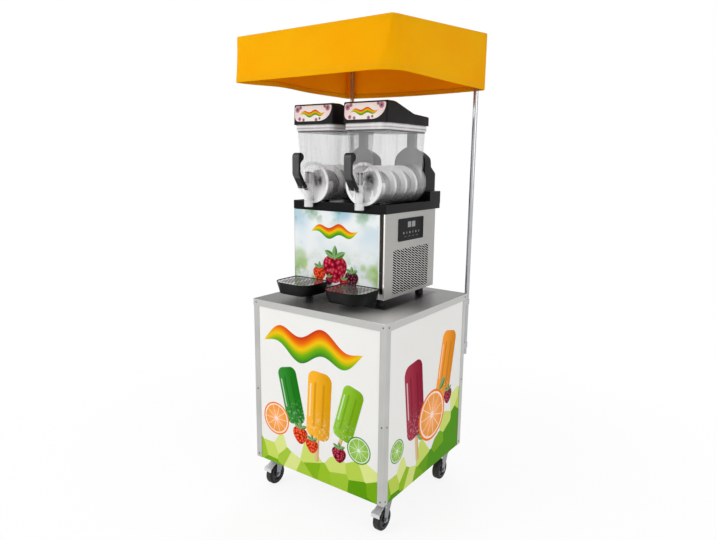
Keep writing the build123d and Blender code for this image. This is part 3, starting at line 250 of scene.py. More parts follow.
def paler(colour, share):
    return tuple(channel + (1.0 - channel) * share for channel in colour)


print("one class for sums, one for node trees, one for finishes")

# %% [markdown]
# ## The studio
# The cart was photographed for a catalogue: flat white all round, with a broad light from the front
# left. The world is white wherever it is seen, straight, in metal or through the bowls, and a calmer
# grey as a light, so that large lamps can still shape the pieces.


# %% World
def seen_rays(nodes):
    """1 for the rays that should meet the white backdrop."""
    kinds = ["Is Camera Ray", "Is Glossy Ray", "Is Transmission Ray"]
    straight, mirrored, through = (nodes.node("ShaderNodeLightPath", output=kind) for kind in kinds)
    return nodes.larger(nodes.larger(straight, mirrored), through)


white, ambient_grey = (1.0, 1.0, 1.0), (0.62, 0.62, 0.63)
world = bpy.data.worlds.new("studio_white")
world.use_nodes = True
scene.world = world
sky = Nodes(world.node_tree, "Generated")
backdrop = sky.mix(seen_rays(sky), ambient_grey, white)
sky.feed(world.node_tree.nodes["Background"].inputs["Color"], backdrop)
scene.view_settings.view_transform = "Standard"
print("world: white where it is seen, grey as a light")


# %% Floor
def placed(name, data):
    made = bpy.data.objects.new(name, data)
    scene.collection.objects.link(made)
    return made


def new_object(name, points, faces, finish):
    mesh = bpy.data.meshes.new(name)
    mesh.from_pydata([tuple(point) for point in points], [], faces)
    mesh.materials.append(finish.material)
    return placed(name, mesh)


floor_size, floor_dull, floor_light, fibre_scale = 30.0, grey(242), grey(248), 40.0
near_glow, shadow_reach, white_reach = 0.86, 0.6, 2.6
half = floor_size / 2
corners = [(-half, -half, 0), (half, -half, 0), (half, half, 0), (-half, half, 0)]
sweep = Finish("studio_paper", floor_light, roughness=0.9, specular=0.1)
sweep.paint(sweep.noise(fibre_scale, some), floor_dull, floor_light)
from_cart = sweep.reach(sweep.x, sweep.y, (0, 0))
glow = near_glow + sweep.soft(from_cart, shadow_reach, white_reach) * (1.0 - near_glow)
sweep.blend_with("ShaderNodeEmission", seen_rays(sweep) * glow)
floor = new_object("studio_floor", corners, [(0, 1, 2, 3)], sweep)
floor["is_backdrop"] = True
print("floor", floor_size, "m across")

# %% Lamps
# Name, place, width and power in watts.
lamps = [("key_lamp", (-1.6, -3.6, 3.0), 2.6, 72), ("side_lamp", (3.6, -0.6, 2.2), 2.4, 27),
         ("back_lamp", (-1.2, 3.0, 4.4), 2.4, 52)]
aim = Vector((0.0, 0.0, 1.0))
for name, place, size, watts in lamps:
    lamp = bpy.data.lights.new(name, "AREA")
    lamp.shape = "DISK"
    lamp.size = size
    lamp.energy = watts
    holder = placed(name, lamp)
    holder.location = place
    holder.rotation_euler = (aim - Vector(place)).to_track_quat("-Z", "Y").to_euler()
print("soft lamps:", len(lamps))

# %% Camera
focal_px, frame_px, sensor_mm = 589.1, 716, 36.0
eye = Vector((1.4933, -2.1216, 1.4973))
yaw, pitch, roll = (math.radians(angle) for angle in (35.67, 10.59, 0.62))
back = Vector((math.sin(yaw) * math.cos(pitch), -math.cos(yaw) * math.cos(pitch), math.sin(pitch)))
level_right = Vector((0, 0, 1)).cross(back).normalized()
level_up = back.cross(level_right)
right = math.cos(roll) * level_right + math.sin(roll) * level_up
up = math.cos(roll) * level_up - math.sin(roll) * level_right
lens = bpy.data.cameras.new("catalogue_camera")
lens.sensor_width = sensor_mm
lens.lens = focal_px / frame_px * sensor_mm
camera = placed("catalogue_camera", lens)
camera.matrix_world = Matrix((right, up, back)).transposed().to_4x4()
camera.location = eye
scene.camera = camera
print("lens", round(lens.lens, 2), "mm")

# %% [markdown]
# ## Putting a finish on a piece
# A piece of the frame keeps its shape, so a finish only goes into its material slots.
# The frame's pieces sit at the origin, so a finish's object coordinates are the cart's own
# metres, which lets a print be laid out with a tape measure.


# %% Coat a piece
def coat(finish, *names):
    for name in names:
        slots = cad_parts[name].data.materials
        slots.clear()
        slots.append(finish.material)
    print(finish.material.name, "on", ", ".join(names))


def both(name):
    """The names of a piece that the machine has twice."""
    return [f"{name}_left", f"{name}_right"]


def middle_of(name):
    low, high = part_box(name)
    return (low + high) / 2


castors = ["front_left", "front_right", "rear_left", "rear_right"]
print("pairs are named like", both("bowl"))

# %% [markdown]
# ## Sheet metal
# The worktop, the trims and the machine's sides are rolled or brushed sheet. Brushing is thousands
# of fine scratches that all run one way. A noise stretched hard along one axis gives them, in
# roughness as well as in a very shallow bump, because it is the broken reflection that the eye
# reads as brushed.

# %% Brushed metal
mottled, patch_scale, hair_depth = (0.35, 0.65), 6.0, 0.00004
worn, bright = 0.9, 0.05
gloss_drop, hair_gloss, patch_gloss = 0.08, 0.12, 0.06
across, upright, lengthwise = (3, 900, 900), (900, 900, 3), (900, 3, 900)
cast, finned = (60, 60, 60), (4, 4, 400)
drum_grey = srgb(88, 88, 89)


def brushed(name, colour, stretch, roughness, metallic=0.85):
    metal = Finish(name, colour, roughness, metallic)
    hairs, patches = metal.noise(1.0, some, stretch), metal.noise(patch_scale, some)
    tone = metal.soft((hairs + patches) / 2, *mottled)
    metal.paint(tone, darker(colour, worn), paler(colour, bright))
    metal.set("Roughness", roughness - gloss_drop + hairs * hair_gloss + patches * patch_gloss)
    metal.bump(hairs, hair_depth)
    return metal


# Name, colour, way of the hairs, roughness, share of bare metal and the pieces.
metals = [
    ("trim_anodised", srgb(192, 192, 189), upright, 0.4, 0.75, ["corner_trims"]),
    ("housing_back_steel", srgb(168, 168, 166), across, 0.4, 0.85, ["machine_back_panel"]),
    ("hinge_satin", grey(160), upright, 0.35, 0.85, ["door_hinge_leaves", "frame_hinge_leaves"]),
    ("pedal_satin", srgb(226, 226, 228), across, 0.3, 0.55, both("brake_pedal_front")),
    ("canopy_tube_metal", grey(180), lengthwise, 0.35, 0.85, ["canopy_frame"]),
    ("shaft_steel", drum_grey, across, 0.25, 0.95, both("drive_shaft")),
    ("motor_casting", srgb(120, 121, 124), cast, 0.5, 0.7, ["gear_motors"]),
    ("condenser_fins", srgb(34, 34, 35), finned, 0.5, 0.3, ["condenser"]),
]
for name, colour, stretch, roughness, metallic, pieces in metals:
    coat(brushed(name, colour, stretch, roughness, metallic), *pieces)

# %% Worktop
top_grey, lip_painted_light_grey = srgb(102, 102, 99), srgb(190, 190, 187)
corner_light_grey, under_machine_shadow_grey = srgb(222, 222, 219), srgb(30, 30, 29)
wipe_dark, wipe_pale = 0.92, 0.04
wiped_dark, wiped_pale = darker(top_grey, wipe_dark), paler(top_grey, wipe_pale)
edge_top, edge_foot, under_machine_shadow_fade, corner_light_reach = 0.0004, 0.0012, 0.03, (0.36, 0.05)
worktop = brushed("worktop_brushed", top_grey, across, roughness=0.38, metallic=0.4)
low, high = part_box("worktop")
# Painted light: the lip faces below the top edge are painted much paler than the top.
below_edge = worktop.soft(worktop.z, high.z - edge_top, high.z - edge_foot)
# Painted light: a pale pool fading out from the near front corner.
corner_painted_light = worktop.soft(worktop.reach(worktop.x, worktop.y, (high.x, low.y)), *corner_light_reach)
# Painted shadow: the steel under the machine's base is painted near black, fading out round it.
base_low, base_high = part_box("machine_base")
under_machine_painted_shadow = worktop.inside(worktop.x, worktop.y, base_low, base_high, under_machine_shadow_fade)
worktop.paint(worktop.mottle(*mottled, 1.0, some, across), wiped_dark, wiped_pale)
worktop.lay(corner_painted_light, corner_light_grey)
worktop.lay(under_machine_painted_shadow, under_machine_shadow_grey)
worktop.lay(below_edge, lip_painted_light_grey)
coat(worktop, "worktop")

# %% Machine housing
steel_grey, bright_edge = srgb(172, 171, 167), srgb(236, 235, 231)
seam_shadow_brown, painted_shade_black, pan_black = srgb(50, 45, 42), grey(8), grey(20)
grille_y, grille_half, grille_foot, grille_top, grille_fade = 0.058, 0.146, 0.016, 0.196, 0.006
slot_wide, slot_high, slot_foot, slot_slope = 0.0297, 0.0106, 0.019, math.tan(math.radians(24))
mid_column, slot_width, slot_end, quarter = 4.5, (0.4, 0.3), (0.0148, 0.0138), 0.25
seam_place, seam_width, middle_fade, grille_shine = 0.0125, (0.007, 0.005), 0.01, 0.6
shell = brushed("housing_brushed", steel_grey, lengthwise, roughness=0.38)
low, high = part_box("machine_right_panel")
machine_x = middle_of("machine_base").x
grille = shell.inside(shell.y, shell.z, (grille_y - grille_half, low.z + grille_foot),
                      (grille_y + grille_half, low.z + grille_top), grille_fade)
to_right, to_left, flange = shell.faces(0, 1), shell.faces(0, -1), shell.faces(1, -1)
# Painted shade in the grille: dark stripes along each row of slots, and the slot walls (cut), are painted
# black.
column = shell.rounded((shell.y - grille_y) / slot_wide + mid_column)
step_y = shell.y - grille_y - (column - mid_column) * slot_wide
# Every other column of slots is half a row higher.
half_step = column / 2 - shell.rounded(column / 2 - quarter)
row = (shell.z - low.z - slot_foot + step_y * slot_slope) / slot_high - half_step
slot_shadow_stripes = shell.soft(abs(row - shell.rounded(row)), *slot_width) * shell.soft(abs(step_y), *slot_end)
cut = shell.larger(grille * slot_shadow_stripes, grille * (1.0 - to_right - to_left))
# Painted shade: the panels' inner faces, seen through the slots, are painted black as well.
on_right = shell.soft(shell.x, machine_x - middle_fade, machine_x + middle_fade)
inner_face_shade = to_left * on_right + to_right * (1.0 - on_right)
inward = high.x - machine_x - abs(shell.x - machine_x)
# Painted shadow: a dark line on the front flange stands for the shaded gap between the front panel and the
# side panel.
seam_shadow = flange * shell.soft(abs(inward - seam_place), *seam_width)
shell.paint(shell.noise(1.0, some, lengthwise), darker(steel_grey, worn), paler(steel_grey, bright))
# Painted highlight: the grille's field is laid part of the way to the bright edge colour, which the front
# flange takes in full.
shell.lay(shell.larger(grille * grille_shine, flange), bright_edge)
shell.lay(seam_shadow, seam_shadow_brown)
shell.lay(shell.larger(cut, inner_face_shade), painted_shade_black)
coat(shell, "machine_left_panel", "machine_right_panel")
base_pan = brushed("base_steel", bright_edge, across, roughness=0.4, metallic=0.2)
base_pan.paint(base_pan.faces(1, -1), pan_black, bright_edge)
coat(base_pan, "machine_base")

# %% [markdown]
# ## Bright metal
# The posts and the latch are chromed, the castors are zinc plated. Chrome is a mirror with a few
# smudges. Zinc has large pale crystals that break the mirror up, and a cell pattern draws them well.

# %% Chrome
chrome_grey, chrome_rough = srgb(180, 181, 184), 0.1
smudge_scale, smudge_run, smudge_dark = 14.0, (0.5, 0.75), 0.85
post = Finish("post_chrome", chrome_grey, chrome_rough, metallic=0.8)
smudge = post.mottle(*smudge_run, smudge_scale, rich)
post.paint(smudge, chrome_grey, darker(chrome_grey, smudge_dark))
post.set("Roughness", chrome_rough + smudge * chrome_rough)
coat(post, "canopy_posts", "post_clamps", "door_latch")

# %% Zinc
crystals, crystal_dark = 170.0, 0.75
zinc_rough, crystal_rough = 0.24, 0.16


def zinc(name, colour):
    metal = Finish(name, colour, zinc_rough, metallic=0.9)
    inputs = {"Vector": metal.place, "Scale": crystals}
    grain = metal.parts(metal.node("ShaderNodeTexVoronoi", inputs=inputs, output="Color"))[0]
    metal.paint(grain, darker(colour, crystal_dark), colour)
    metal.set("Roughness", zinc_rough + grain * crystal_rough)
    return metal


forks = [f"castor_fork_{castor}" for castor in castors]
coat(zinc("castor_zinc", srgb(146, 147, 150)), "castor_plates", "castor_bolts", *forks)
coat(zinc("rivet_zinc", grey(120)), "panel_rivets")

# %% Cooling drums
barrel_z, barrel_radius = 1.4, 0.088
drum_shadow = grey(14)
drum_shade_half, drum_shade_scale, drum_shade_swing = 0.035, 9.0, 0.02
drum = brushed("drum_steel", drum_grey, across, roughness=0.25, metallic=0.95)
# Painted shade: below a wavy line round the axis the drum is painted near black.
drum_shade_line = drum.z + drum.noise(drum_shade_scale) * drum_shade_swing
lower_drum_shade = drum.soft(drum_shade_line, barrel_z + drum_shade_half, barrel_z - drum_shade_half)
drum.paint(lower_drum_shade, drum_grey, drum_shadow)
coat(drum, "cooling_drums")

# %% [markdown]
# ## Moulded plastic and rubber
# Black plastic is never quite black or quite smooth: the mould leaves a leathery grain, and handling
# leaves a faint haze. A fine noise for the grain, and a coarse one in the roughness for the haze,
# keep it from looking like a hole in the picture.

# %% Plastics
cloud_scale, haze_levels, haze_pale = 9.0, (0.4, 0.75), 0.01
cloud_drop, cloud_gloss = 0.05, 0.1
leather, skin = 700.0, 0.00006
jet, piston_white, grid_dark = grey(7), srgb(226, 226, 224), srgb(40, 36, 36)


def moulded(name, colour, roughness, specular=0.25, grain=leather, depth=skin):
    plastic = Finish(name, colour, roughness, specular=specular)
    clouds = plastic.noise(cloud_scale, rich)
    plastic.paint(plastic.soft(clouds, *haze_levels), colour, paler(colour, haze_pale))
    plastic.set("Roughness", roughness - cloud_drop + clouds * cloud_gloss)
    plastic.bump(plastic.noise(grain), depth)
    return plastic


# Name, colour, roughness, gloss, scale and depth of the grain, and the pieces.
plastics = [
    ("gland_black", jet, 0.4, 0.25, leather, skin, ["cord_gland"]),
    ("lid_black", jet, 0.5, 0.15, leather, skin, both("lid")),
    ("tray_black", grey(9), 0.34, 0.14, leather, skin, both("drip_tray")),
    ("auger_white", srgb(249, 248, 246), 0.34, 0.25, 300.0, 0.00003, both("auger")),
    ("foot_rubber", grey(20), 0.62, 0.25, 500.0, skin, ["machine_feet", "bowl_seals"]),
    ("fan_black", srgb(24, 24, 26), 0.45, 0.25, leather, skin, ["fan_mount", "fan_rotor"]),
    ("compressor_enamel", srgb(20, 20, 22), 0.3, 0.5, 200.0, skin, ["compressor"]),
    ("frame_powder_coat", srgb(176, 178, 180), 0.45, 0.25, 420.0, skin, ["cart_frame"]),
]
for name, colour, roughness, specular, grain, depth, pieces in plastics:
    coat(moulded(name, colour, roughness, specular, grain, depth), *pieces)

# %% Tap handles and pistons
lit_front_foot, lit_front_top = (1.415, 1.425), (1.522, 1.512)
sheen_streaks, sheen_dark, sheen_pale = (180, 180, 18), grey(52), grey(92)
handle = moulded("handle_black", jet, roughness=0.34, specular=0.22, grain=1200.0)
# Painted light: between two heights the front faces of each handle are painted a streaky grey, the lit
# front, while the other faces stay black.
lit_front = handle.soft(handle.z, *lit_front_foot) * handle.soft(handle.z, *lit_front_top) * handle.faces(1, -1)
painted_front_light = handle.mix(handle.noise(1.0, some, sheen_streaks), sheen_dark, sheen_pale)
handle.paint(lit_front, jet, painted_front_light)
coat(handle, *both("tap_handle"))
stripes_foot, stripe_pitch, stripe_width = (1.392, 1.402), 0.011, (-0.3, 0.5)
stripe_dark, stripe_pale = srgb(40, 40, 41), grey(176)
piston = moulded("piston_white", piston_white, roughness=0.3)
# Upright dark and pale stripes cover the piston above a height.
stripes = piston.soft(piston.wave(piston.x, stripe_pitch), *stripe_width)
striped_top = piston.mix(stripes, stripe_dark, stripe_pale)
piston.paint(piston.soft(piston.z, *stripes_foot), piston_white, striped_top)
coat(piston, *both("tap_piston"))

# %% Drip grids
grid_pitch_x, grid_pitch_y, land_levels, land_metal = 0.017, 0.026, (-0.3, 0.1), 0.9
grid_hole, grid_land = srgb(36, 32, 32), srgb(206, 200, 198)
grid = moulded("grid_tread", grid_dark, roughness=0.16, specular=0.5)
lands = grid.soft(grid.wave(grid.x, grid_pitch_x) * grid.wave(grid.y, grid_pitch_y), *land_levels)
grid.paint(lands, grid_hole, grid_land)
grid.set("Metallic", lands * land_metal)
coat(grid, *both("drip_grid"))

# %% [markdown]
# ## Deck and lamps
# The black deck carries both bowls, and behind each bowl stands a round lamp housing with a stem that
# feeds the lid. On the real machine the housing is a grey moulding in the black tower, so one
# finish covers the deck and turns grey inside the lamp's outline.

# %% Deck
middles = {side: middle_of(f"bowl_{side}").x for side in ("left", "right")}
lamp_z, lamp_radius, stem_half, stem_foot = 1.485, 0.0722, 0.0192, 1.55
lamp_front, lamp_back, face_fade, soft_edge = 0.2, 0.2345, 0.0002, 0.0003
lamp_dark, lamp_pale, lamp_clouds = srgb(110, 110, 109), srgb(128, 127, 126), 12.0
deck_haze = srgb(12, 12, 11)
deck = moulded("deck_black", jet, roughness=0.34, specular=0.11)
outline = 0.0
for middle in middles.values():
    from_lamp = deck.reach(deck.x, deck.z, (middle, lamp_z))
    round_part = deck.soft(from_lamp, lamp_radius, lamp_radius - soft_edge)
    stem = deck.soft(abs(deck.x - middle), stem_half + face_fade, stem_half)
    stem = stem * deck.soft(deck.z, stem_foot, stem_foot + soft_edge)
    outline = deck.larger(outline, deck.larger(round_part, stem))
lamp = outline * deck.soft(deck.y, lamp_back, lamp_back - face_fade)
lamp = lamp * deck.soft(deck.y, lamp_front, lamp_front + face_fade)
lamp_grey = deck.mix(deck.noise(lamp_clouds, some), lamp_dark, lamp_pale)
deck.paint(deck.noise(cloud_scale, rich), jet, deck_haze)
deck.lay(lamp, lamp_grey)
coat(deck, "bowl_deck")

# %% Wheels
wheel_radius, hub_radius, hub_fade, tread_deep = 0.0475, 0.033, 0.0002, 0.0035
tyre_black, tread_dust, hub_grey = grey(17), srgb(84, 81, 76), srgb(58, 59, 62)
tyre_rough, hub_gloss, dust_scale, dust_share = 0.62, 0.22, 60.0, 0.5
ring_waves, ring_start, ring_end, rubber_grain, ring_depth = 2600.0, 0.001, 0.003, 420.0, 0.00012


def wheel(name, axle):
    """Black tyre with fine side rings and a dusty tread, round a charcoal hub."""
    rubber = Finish(name, tyre_black, tyre_rough, specular=0.3)
    reach = rubber.reach(rubber.y, rubber.z, axle)
    hub = rubber.soft(reach, hub_radius + hub_fade, hub_radius - hub_fade)
    dust = rubber.soft(reach, wheel_radius - tread_deep, wheel_radius) * rubber.noise(dust_scale, rich)
    rubber.paint(dust * dust_share, tyre_black, tread_dust)
    rubber.lay(hub, hub_grey)
    rubber.set("Roughness", tyre_rough - hub * hub_gloss)
    rings = rubber.soft(reach, hub_radius + ring_start, hub_radius + ring_end)
    rings = rubber.sine(reach * ring_waves) * rings
    rubber.bump(rings / 2 + rubber.noise(rubber_grain), ring_depth)
    return rubber


for castor in castors:
    axle = (middle_of(f"castor_wheel_{castor}").y, wheel_radius)
    coat(wheel(f"wheel_rubber_{castor}", axle), f"castor_wheel_{castor}")

# %% [markdown]
# ## Clear bowls
# The bowls are moulded in clear plastic a few millimetres thick. Real refraction would hide the
# augers in noise, and at this thickness it hardly bends the view. A see-through shader mixed with a
# pale glossy one, more of it where the wall is seen edge on, gives the bright edges and faint grey
# walls of the real thing. The rim is a thicker band, and the round front is frosted by use. Light and
# shade are painted on too: highlight lines, glints and a shadow line on the rim, painted shade low and
# at the back of the barrel, and a painted shadow with glints on the front disc.

# %% Measures of a bowl
rim_foot, rim_height, bowl_face, bowl_back, tap_back, spout_end = 1.618, 0.025, -0.158, 0.203, -0.162, 1.324
# Painted light on the rim band, from its foot up: pale bands, grey lines, a bright painted highlight line
# and at the top a painted shadow under the lid.
rim_greys = [(0.0, 214), (0.22, 236), (0.34, 150), (0.46, 214), (0.62, 252), (0.78, 240), (0.92, 130)]
rim_light_stops = [(share, srgb(level, level, level + 2)) for share, level in rim_greys]
glass_clear, glass_streak, glass_cloud = srgb(214, 216, 217), srgb(192, 194, 196), srgb(250, 251, 252)
shade_grey, rim_shadow_grey, edge_blend = grey(34), srgb(70, 70, 72), 0.35
# Heights over the rim's foot, with the widths of the lines there.
rim_start, edge_line, under_line = (-0.0006, 0.0006), 0.0015, 0.004
edge_width, under_width = (0.0024, 0.0014), (0.0035, 0.0015)
# Heights over the barrel's axis.
barrel_top, veil_foot, shade_top, cloudy_top = (0.09, 0.04), (-0.06, 0.02), (0.005, -0.062), (0.02, -0.05)
# Depths behind the bowl's face, in front of its back and behind the tap.
disc_depth, shade_start, back_start = (0.006, 0.004), (0.006, 0.02), (-0.05, -0.005)
disc_start, tap_depth, spout_height = (0.0, 0.001), (0.0, -0.002), (0.004, -0.004)
disc_fade, disc_ring = (0.001, 0.0), (-0.014, -0.01)
disc_shadow_at, squash, disc_shadow_size = (0.032, 0.012), 0.7, (0.036, 0.012)
# Levels, scale, layers and stretch: frost and streaks left by moulding and use, a painted shadow, painted
# glints.
frost_marks, disc_shadow_marks = (0.42, 0.75, 7.0, some), (0.25, 0.6, 24.0, some)
gleam_marks, glint_marks = (0.5, 0.62, 9.0, 2.0, (1, 1, 0)), (0.55, 0.62, 38.0, 2.0, (1, 1, 0.5))
streak_marks = (0.48, 0.7, 1.0, 2.0, (60, 60, 3))
gleam_share, low_share, back_share, rim_share, shade_share = 0.7, 0.9, 0.6, 0.9, 0.9
bare_wall, full_wall = 0.1, 0.95
print("bowl rim", rim_height, "m high")


# %% Bowls
def bowl(name, middle):
    clear = Finish(name, glass_cloud, roughness=0.1)
    over_rim, over_axis, over_spout = clear.z - rim_foot, clear.z - barrel_z, clear.z - spout_end
    behind_face, behind_tap = clear.y - bowl_face, clear.y - tap_back
    from_axis = clear.reach(clear.x, clear.z, (middle, barrel_z)) - barrel_radius
    facing = clear.node("ShaderNodeLayerWeight", inputs={"Blend": edge_blend}, output="Facing")
    frost, streaks = clear.mottle(*frost_marks), clear.mottle(*streak_marks)
    # Painted light on the rim: the band of painted light and shade, painted glints (gleam), a bright line in
    # the wall (rim_edge) and a painted shadow line just under the rim.
    rim = clear.soft(over_rim, *rim_start)
    rim_edge = clear.soft(abs(over_rim - edge_line), *edge_width)
    rim_shadow_line = clear.soft(abs(over_rim + under_line), *under_width)
    gleam = clear.mottle(*gleam_marks) * gleam_share
    rim_light_and_shade = clear.mix(gleam, clear.ramp(over_rim / rim_height, rim_light_stops), glass_cloud)
    disc = clear.soft(behind_face, *disc_depth) * clear.soft(behind_tap, *disc_start)
    disc = disc * clear.soft(from_axis, *disc_fade)
    ring = disc * clear.soft(from_axis, *disc_ring)
    cloudy_disc = disc * clear.soft(over_axis, *cloudy_top)
    barrel = clear.soft(over_axis, *barrel_top)
    veil = barrel * clear.soft(over_axis, *veil_foot)
    # Painted shade: the lower side and the back end of the barrel are painted dark grey and the wall hides
    # more there; the lower side is a painted reflection of the black deck.
    low_side = clear.soft(over_axis, *shade_top) * low_share
    back_end = clear.soft(clear.y - bowl_back, *back_start) * barrel * back_share
    shade = clear.larger(low_side, back_end) * clear.soft(behind_face, *shade_start)
    # Painted shadow: a soft dark patch on the front disc, right of the axis, for the shadow of the auger's
    # front arm.
    disc_shadow_mid = (middle + disc_shadow_at[0], (barrel_z + disc_shadow_at[1]) * squash)
    from_disc_shadow = clear.reach(clear.x, clear.z * squash, disc_shadow_mid)
    disc_shadow = disc * clear.soft(from_disc_shadow, *disc_shadow_size) * clear.mottle(*disc_shadow_marks)
    # Painted glints on the front disc, outside the painted shadow.
    glints = clear.mottle(*glint_marks) * disc * (1 - disc_shadow)
    tap_end = clear.soft(over_spout, *spout_height) * clear.soft(behind_tap, *tap_depth)
    # How much each mark adds to what the wall hides.
    marks = [(barrel, -0.06), (facing ** 2.0, 0.5), (streaks, 0.05), (frost, 0.02), (frost * veil, 0.1),
             (veil, 0.08), (rim, 0.6), (rim_edge, 0.2), (rim_shadow_line, 0.4), (shade, 0.34), (disc, 0.06),
             (disc * frost, 0.4), (cloudy_disc, 0.4), (ring, 0.5), (tap_end, 0.4), (disc_shadow, 0.4),
             (glints, 0.4)]
    wall = sum((mark * share for mark, share in marks), bare_wall)
    clear.paint(streaks, glass_clear, glass_streak)
    clear.lay(clear.larger(barrel, rim), glass_cloud)
    clear.lay(rim * rim_share, rim_light_and_shade)
    clear.lay(clear.larger(shade * shade_share, disc_shadow), shade_grey)
    clear.lay(rim_shadow_line, rim_shadow_grey)
    clear.blend_with("ShaderNodeBsdfTransparent", 1.0 - clear.smaller(wall, full_wall))
    return clear


for side, middle in middles.items():
    coat(bowl(f"bowl_clear_{side}", middle), f"bowl_{side}")

# %% [markdown]
# ## Printed panels
# The cabinet's panels carry a bright print on white. The print here is a plain ice-stand design: a
# mosaic of green facets along the foot, ice lollies, citrus wheels, berries and a rainbow ribbon.
# Each shape is a distance turned into a mask, so it stays sharp at any size and needs no picture file.

# %% Board with a print
paper, paper_shade, paper_scale = srgb(240, 240, 237), srgb(235, 234, 230), 3.0
board_dark, board_pale, board_scale = srgb(206, 204, 199), srgb(220, 218, 213), 24.0
peel_scale, peel_depth, print_edge = 160.0, 0.00003, 0.0012


class Print(Finish):
    """Satin board with a picture laid down shape by shape, in metres across and up."""

    def __init__(self, name, axis):
        super().__init__(name, paper, roughness=0.42, specular=0.03)
        self.bump(self.noise(peel_scale), peel_depth)
        self.axis = axis
        self.u, self.v = (self.x if axis else self.y), self.z

    def inked(self, gap):
        """1 inside an outline, from the distance to it, which is negative inside."""
        return self.soft(gap, print_edge, -print_edge)

    def shaded(self, value, low, high, pale, dark):
        """From a pale colour to a dark one, between two places."""
        return self.mix(self.soft(value, low, high), pale, dark)

    def turned(self, place, lean):
        """Distances across and along a shape that leans by some degrees."""
        beside, above = self.u - place[0], self.v - place[1]
        cosine, sine = math.cos(math.radians(lean)), math.sin(math.radians(lean))
        return beside * cosine - above * sine, above * cosine + beside * sine

    def bar(self, beside, above, broad, tall, radius):
        """1 inside a bar with round corners."""
        side = self.larger(abs(beside) - (broad - radius), 0.0)
        end = self.larger(abs(above) - (tall - radius), 0.0)
        return self.inked((side ** 2.0 + end ** 2.0) ** 0.5 - radius)

    def cells(self, scale, output):
        spot = self.node("ShaderNodeCombineXYZ", inputs=[self.u, self.v, 0.0])
        inputs = {"Vector": spot, "Scale": scale}
        return self.node("ShaderNodeTexVoronoi", {"voronoi_dimensions": "2D"}, inputs, output)

    def show(self, side):
        """Print the picture on the outside of a panel; its edges and back stay bare board."""
        board = self.mix(self.noise(board_scale, some), board_dark, board_pale)
        self.paint(self.faces(self.axis, side), board, self.picture)


def times(size, *shares):
    return [share * size for share in shares]


print("prints have edges", print_edge, "m soft")

# %% Citrus wheels
# Shares of the radius.
flesh_end, pith_end, spoke_width, core, juice_run = 0.83, 0.91, (0.05, 0.1), (0.1, 0.16), (0.2, 0.85)
flesh_pale, flesh_dark, fibre_pale, pith_pale, fibre_share = 0.1, 0.85, 0.3, 0.65, 0.35
fibre_marks, spoke_turn = (0.35, 0.65, 220.0, some), 40


def citrus(art, place, radius, rind, flesh, count=10):
    """A cut fruit: rind, pale pith and wedges of flesh."""
    reach = art.reach(art.u, art.v, place)
    angle = art.maths("ARCTAN2", art.v - place[1], art.u - place[0])
    spokes = abs(art.sine(angle * (count / 2) + radius * spoke_turn)) * reach
    wedges = art.inked(reach - radius * flesh_end) * art.soft(spokes, *times(radius, *spoke_width))
    wedges = wedges * art.soft(reach, *times(radius, *core))
    pale, dark = paler(flesh, flesh_pale), darker(flesh, flesh_dark)
    juice = art.shaded(reach, *times(radius, *juice_run), pale, dark)
    juice = art.mix(art.mottle(*fibre_marks) * fibre_share, juice, paler(flesh, fibre_pale))
    art.lay(art.inked(reach - radius), rind)
    art.lay(art.inked(reach - radius * pith_end), paler(flesh, pith_pale))
    art.lay(wedges, juice)


print("citrus wheels")

# %% Ice lollies
wood, wood_shade = srgb(226, 190, 140), srgb(190, 148, 98)
# Shares of the half height, then of the half width.
lolly_width, stick_drop, stick_half, groove_end = 0.42, 1.25, 0.45, (0.72, 0.62)
glint_rise, glint_half = 0.1, 0.5
stick_width, groove_place, groove_width, bar_round = 0.17, 0.36, (0.14, 0.03), 0.6
glint_place, glint_width = 0.76, 0.06
ice_pale, ice_dark, groove_dark, groove_share = 0.03, 0.7, 0.5, 0.6
frost_levels, frost_pale, frost_share, glint_pale, glint_share = (0.5, 0.7, 90.0, some), 0.6, 0.5, 0.8, 0.6


def ice_lolly(art, place, tall, lean, colour):
    """A bar of ice with two pressed grooves on a wooden stick, lit from the left."""
    broad = tall * lolly_width
    beside, above = art.turned(place, lean)
    thin = broad * stick_width
    stick = art.bar(beside, above + tall * stick_drop, thin, tall * stick_half, thin)
    art.lay(stick, art.shaded(beside, 0.0, thin, wood, wood_shade))
    groove = art.soft(abs(abs(beside) - broad * groove_place), *times(broad, *groove_width))
    groove = groove * art.soft(abs(above), *times(tall, *groove_end))
    ice = art.shaded(beside, -broad, broad, paler(colour, ice_pale), darker(colour, ice_dark))
    ice = art.mix(groove * groove_share, ice, darker(colour, groove_dark))
    frost = art.mottle(*frost_levels) * art.soft(above, 0.0, -tall)
    ice = art.mix(frost * frost_share, ice, paler(colour, frost_pale))
    thin = broad * glint_width
    glint = art.bar(beside + broad * glint_place, above - tall * glint_rise, thin,
                    tall * glint_half, thin)
    ice = art.mix(glint * glint_share, ice, paler(colour, glint_pale))
    art.lay(art.bar(beside, above, broad, tall, broad * bar_round), ice)


print("ice lollies")

# %% Berries and leaves
leaf_green, leaf_width, leaf_tip, leaf_turn, rib_width = srgb(84, 150, 36), 0.42, 0.96, 0.2, (0.06, 0.02)
leaf_pale, leaf_dark, rib_pale, rib_share = 0.12, 0.7, 0.45, 0.6
# Shares of a berry's radius, and the leans of its crown's leaves in degrees.
taper, narrowest, bead_scale = 0.3, -0.5, 3.2
crown_side, crown_rise, crown_lift, crown_leaf = 0.5, 0.86, 0.3, 0.52
crown_leans, berry_turn, berry_dark, berry_share = (-62, 0, 62), (-0.1, 1.3), 0.3, 0.6
# Shades of a bead from its middle outwards: place, share of white and share of its colour.
bead_shades = [(0.0, 0.26, 1.0), (0.14, 0.08, 1.0), (0.4, 0.0, 1.0), (0.6, 0.0, 0.5), (0.8, 0.0, 0.28)]


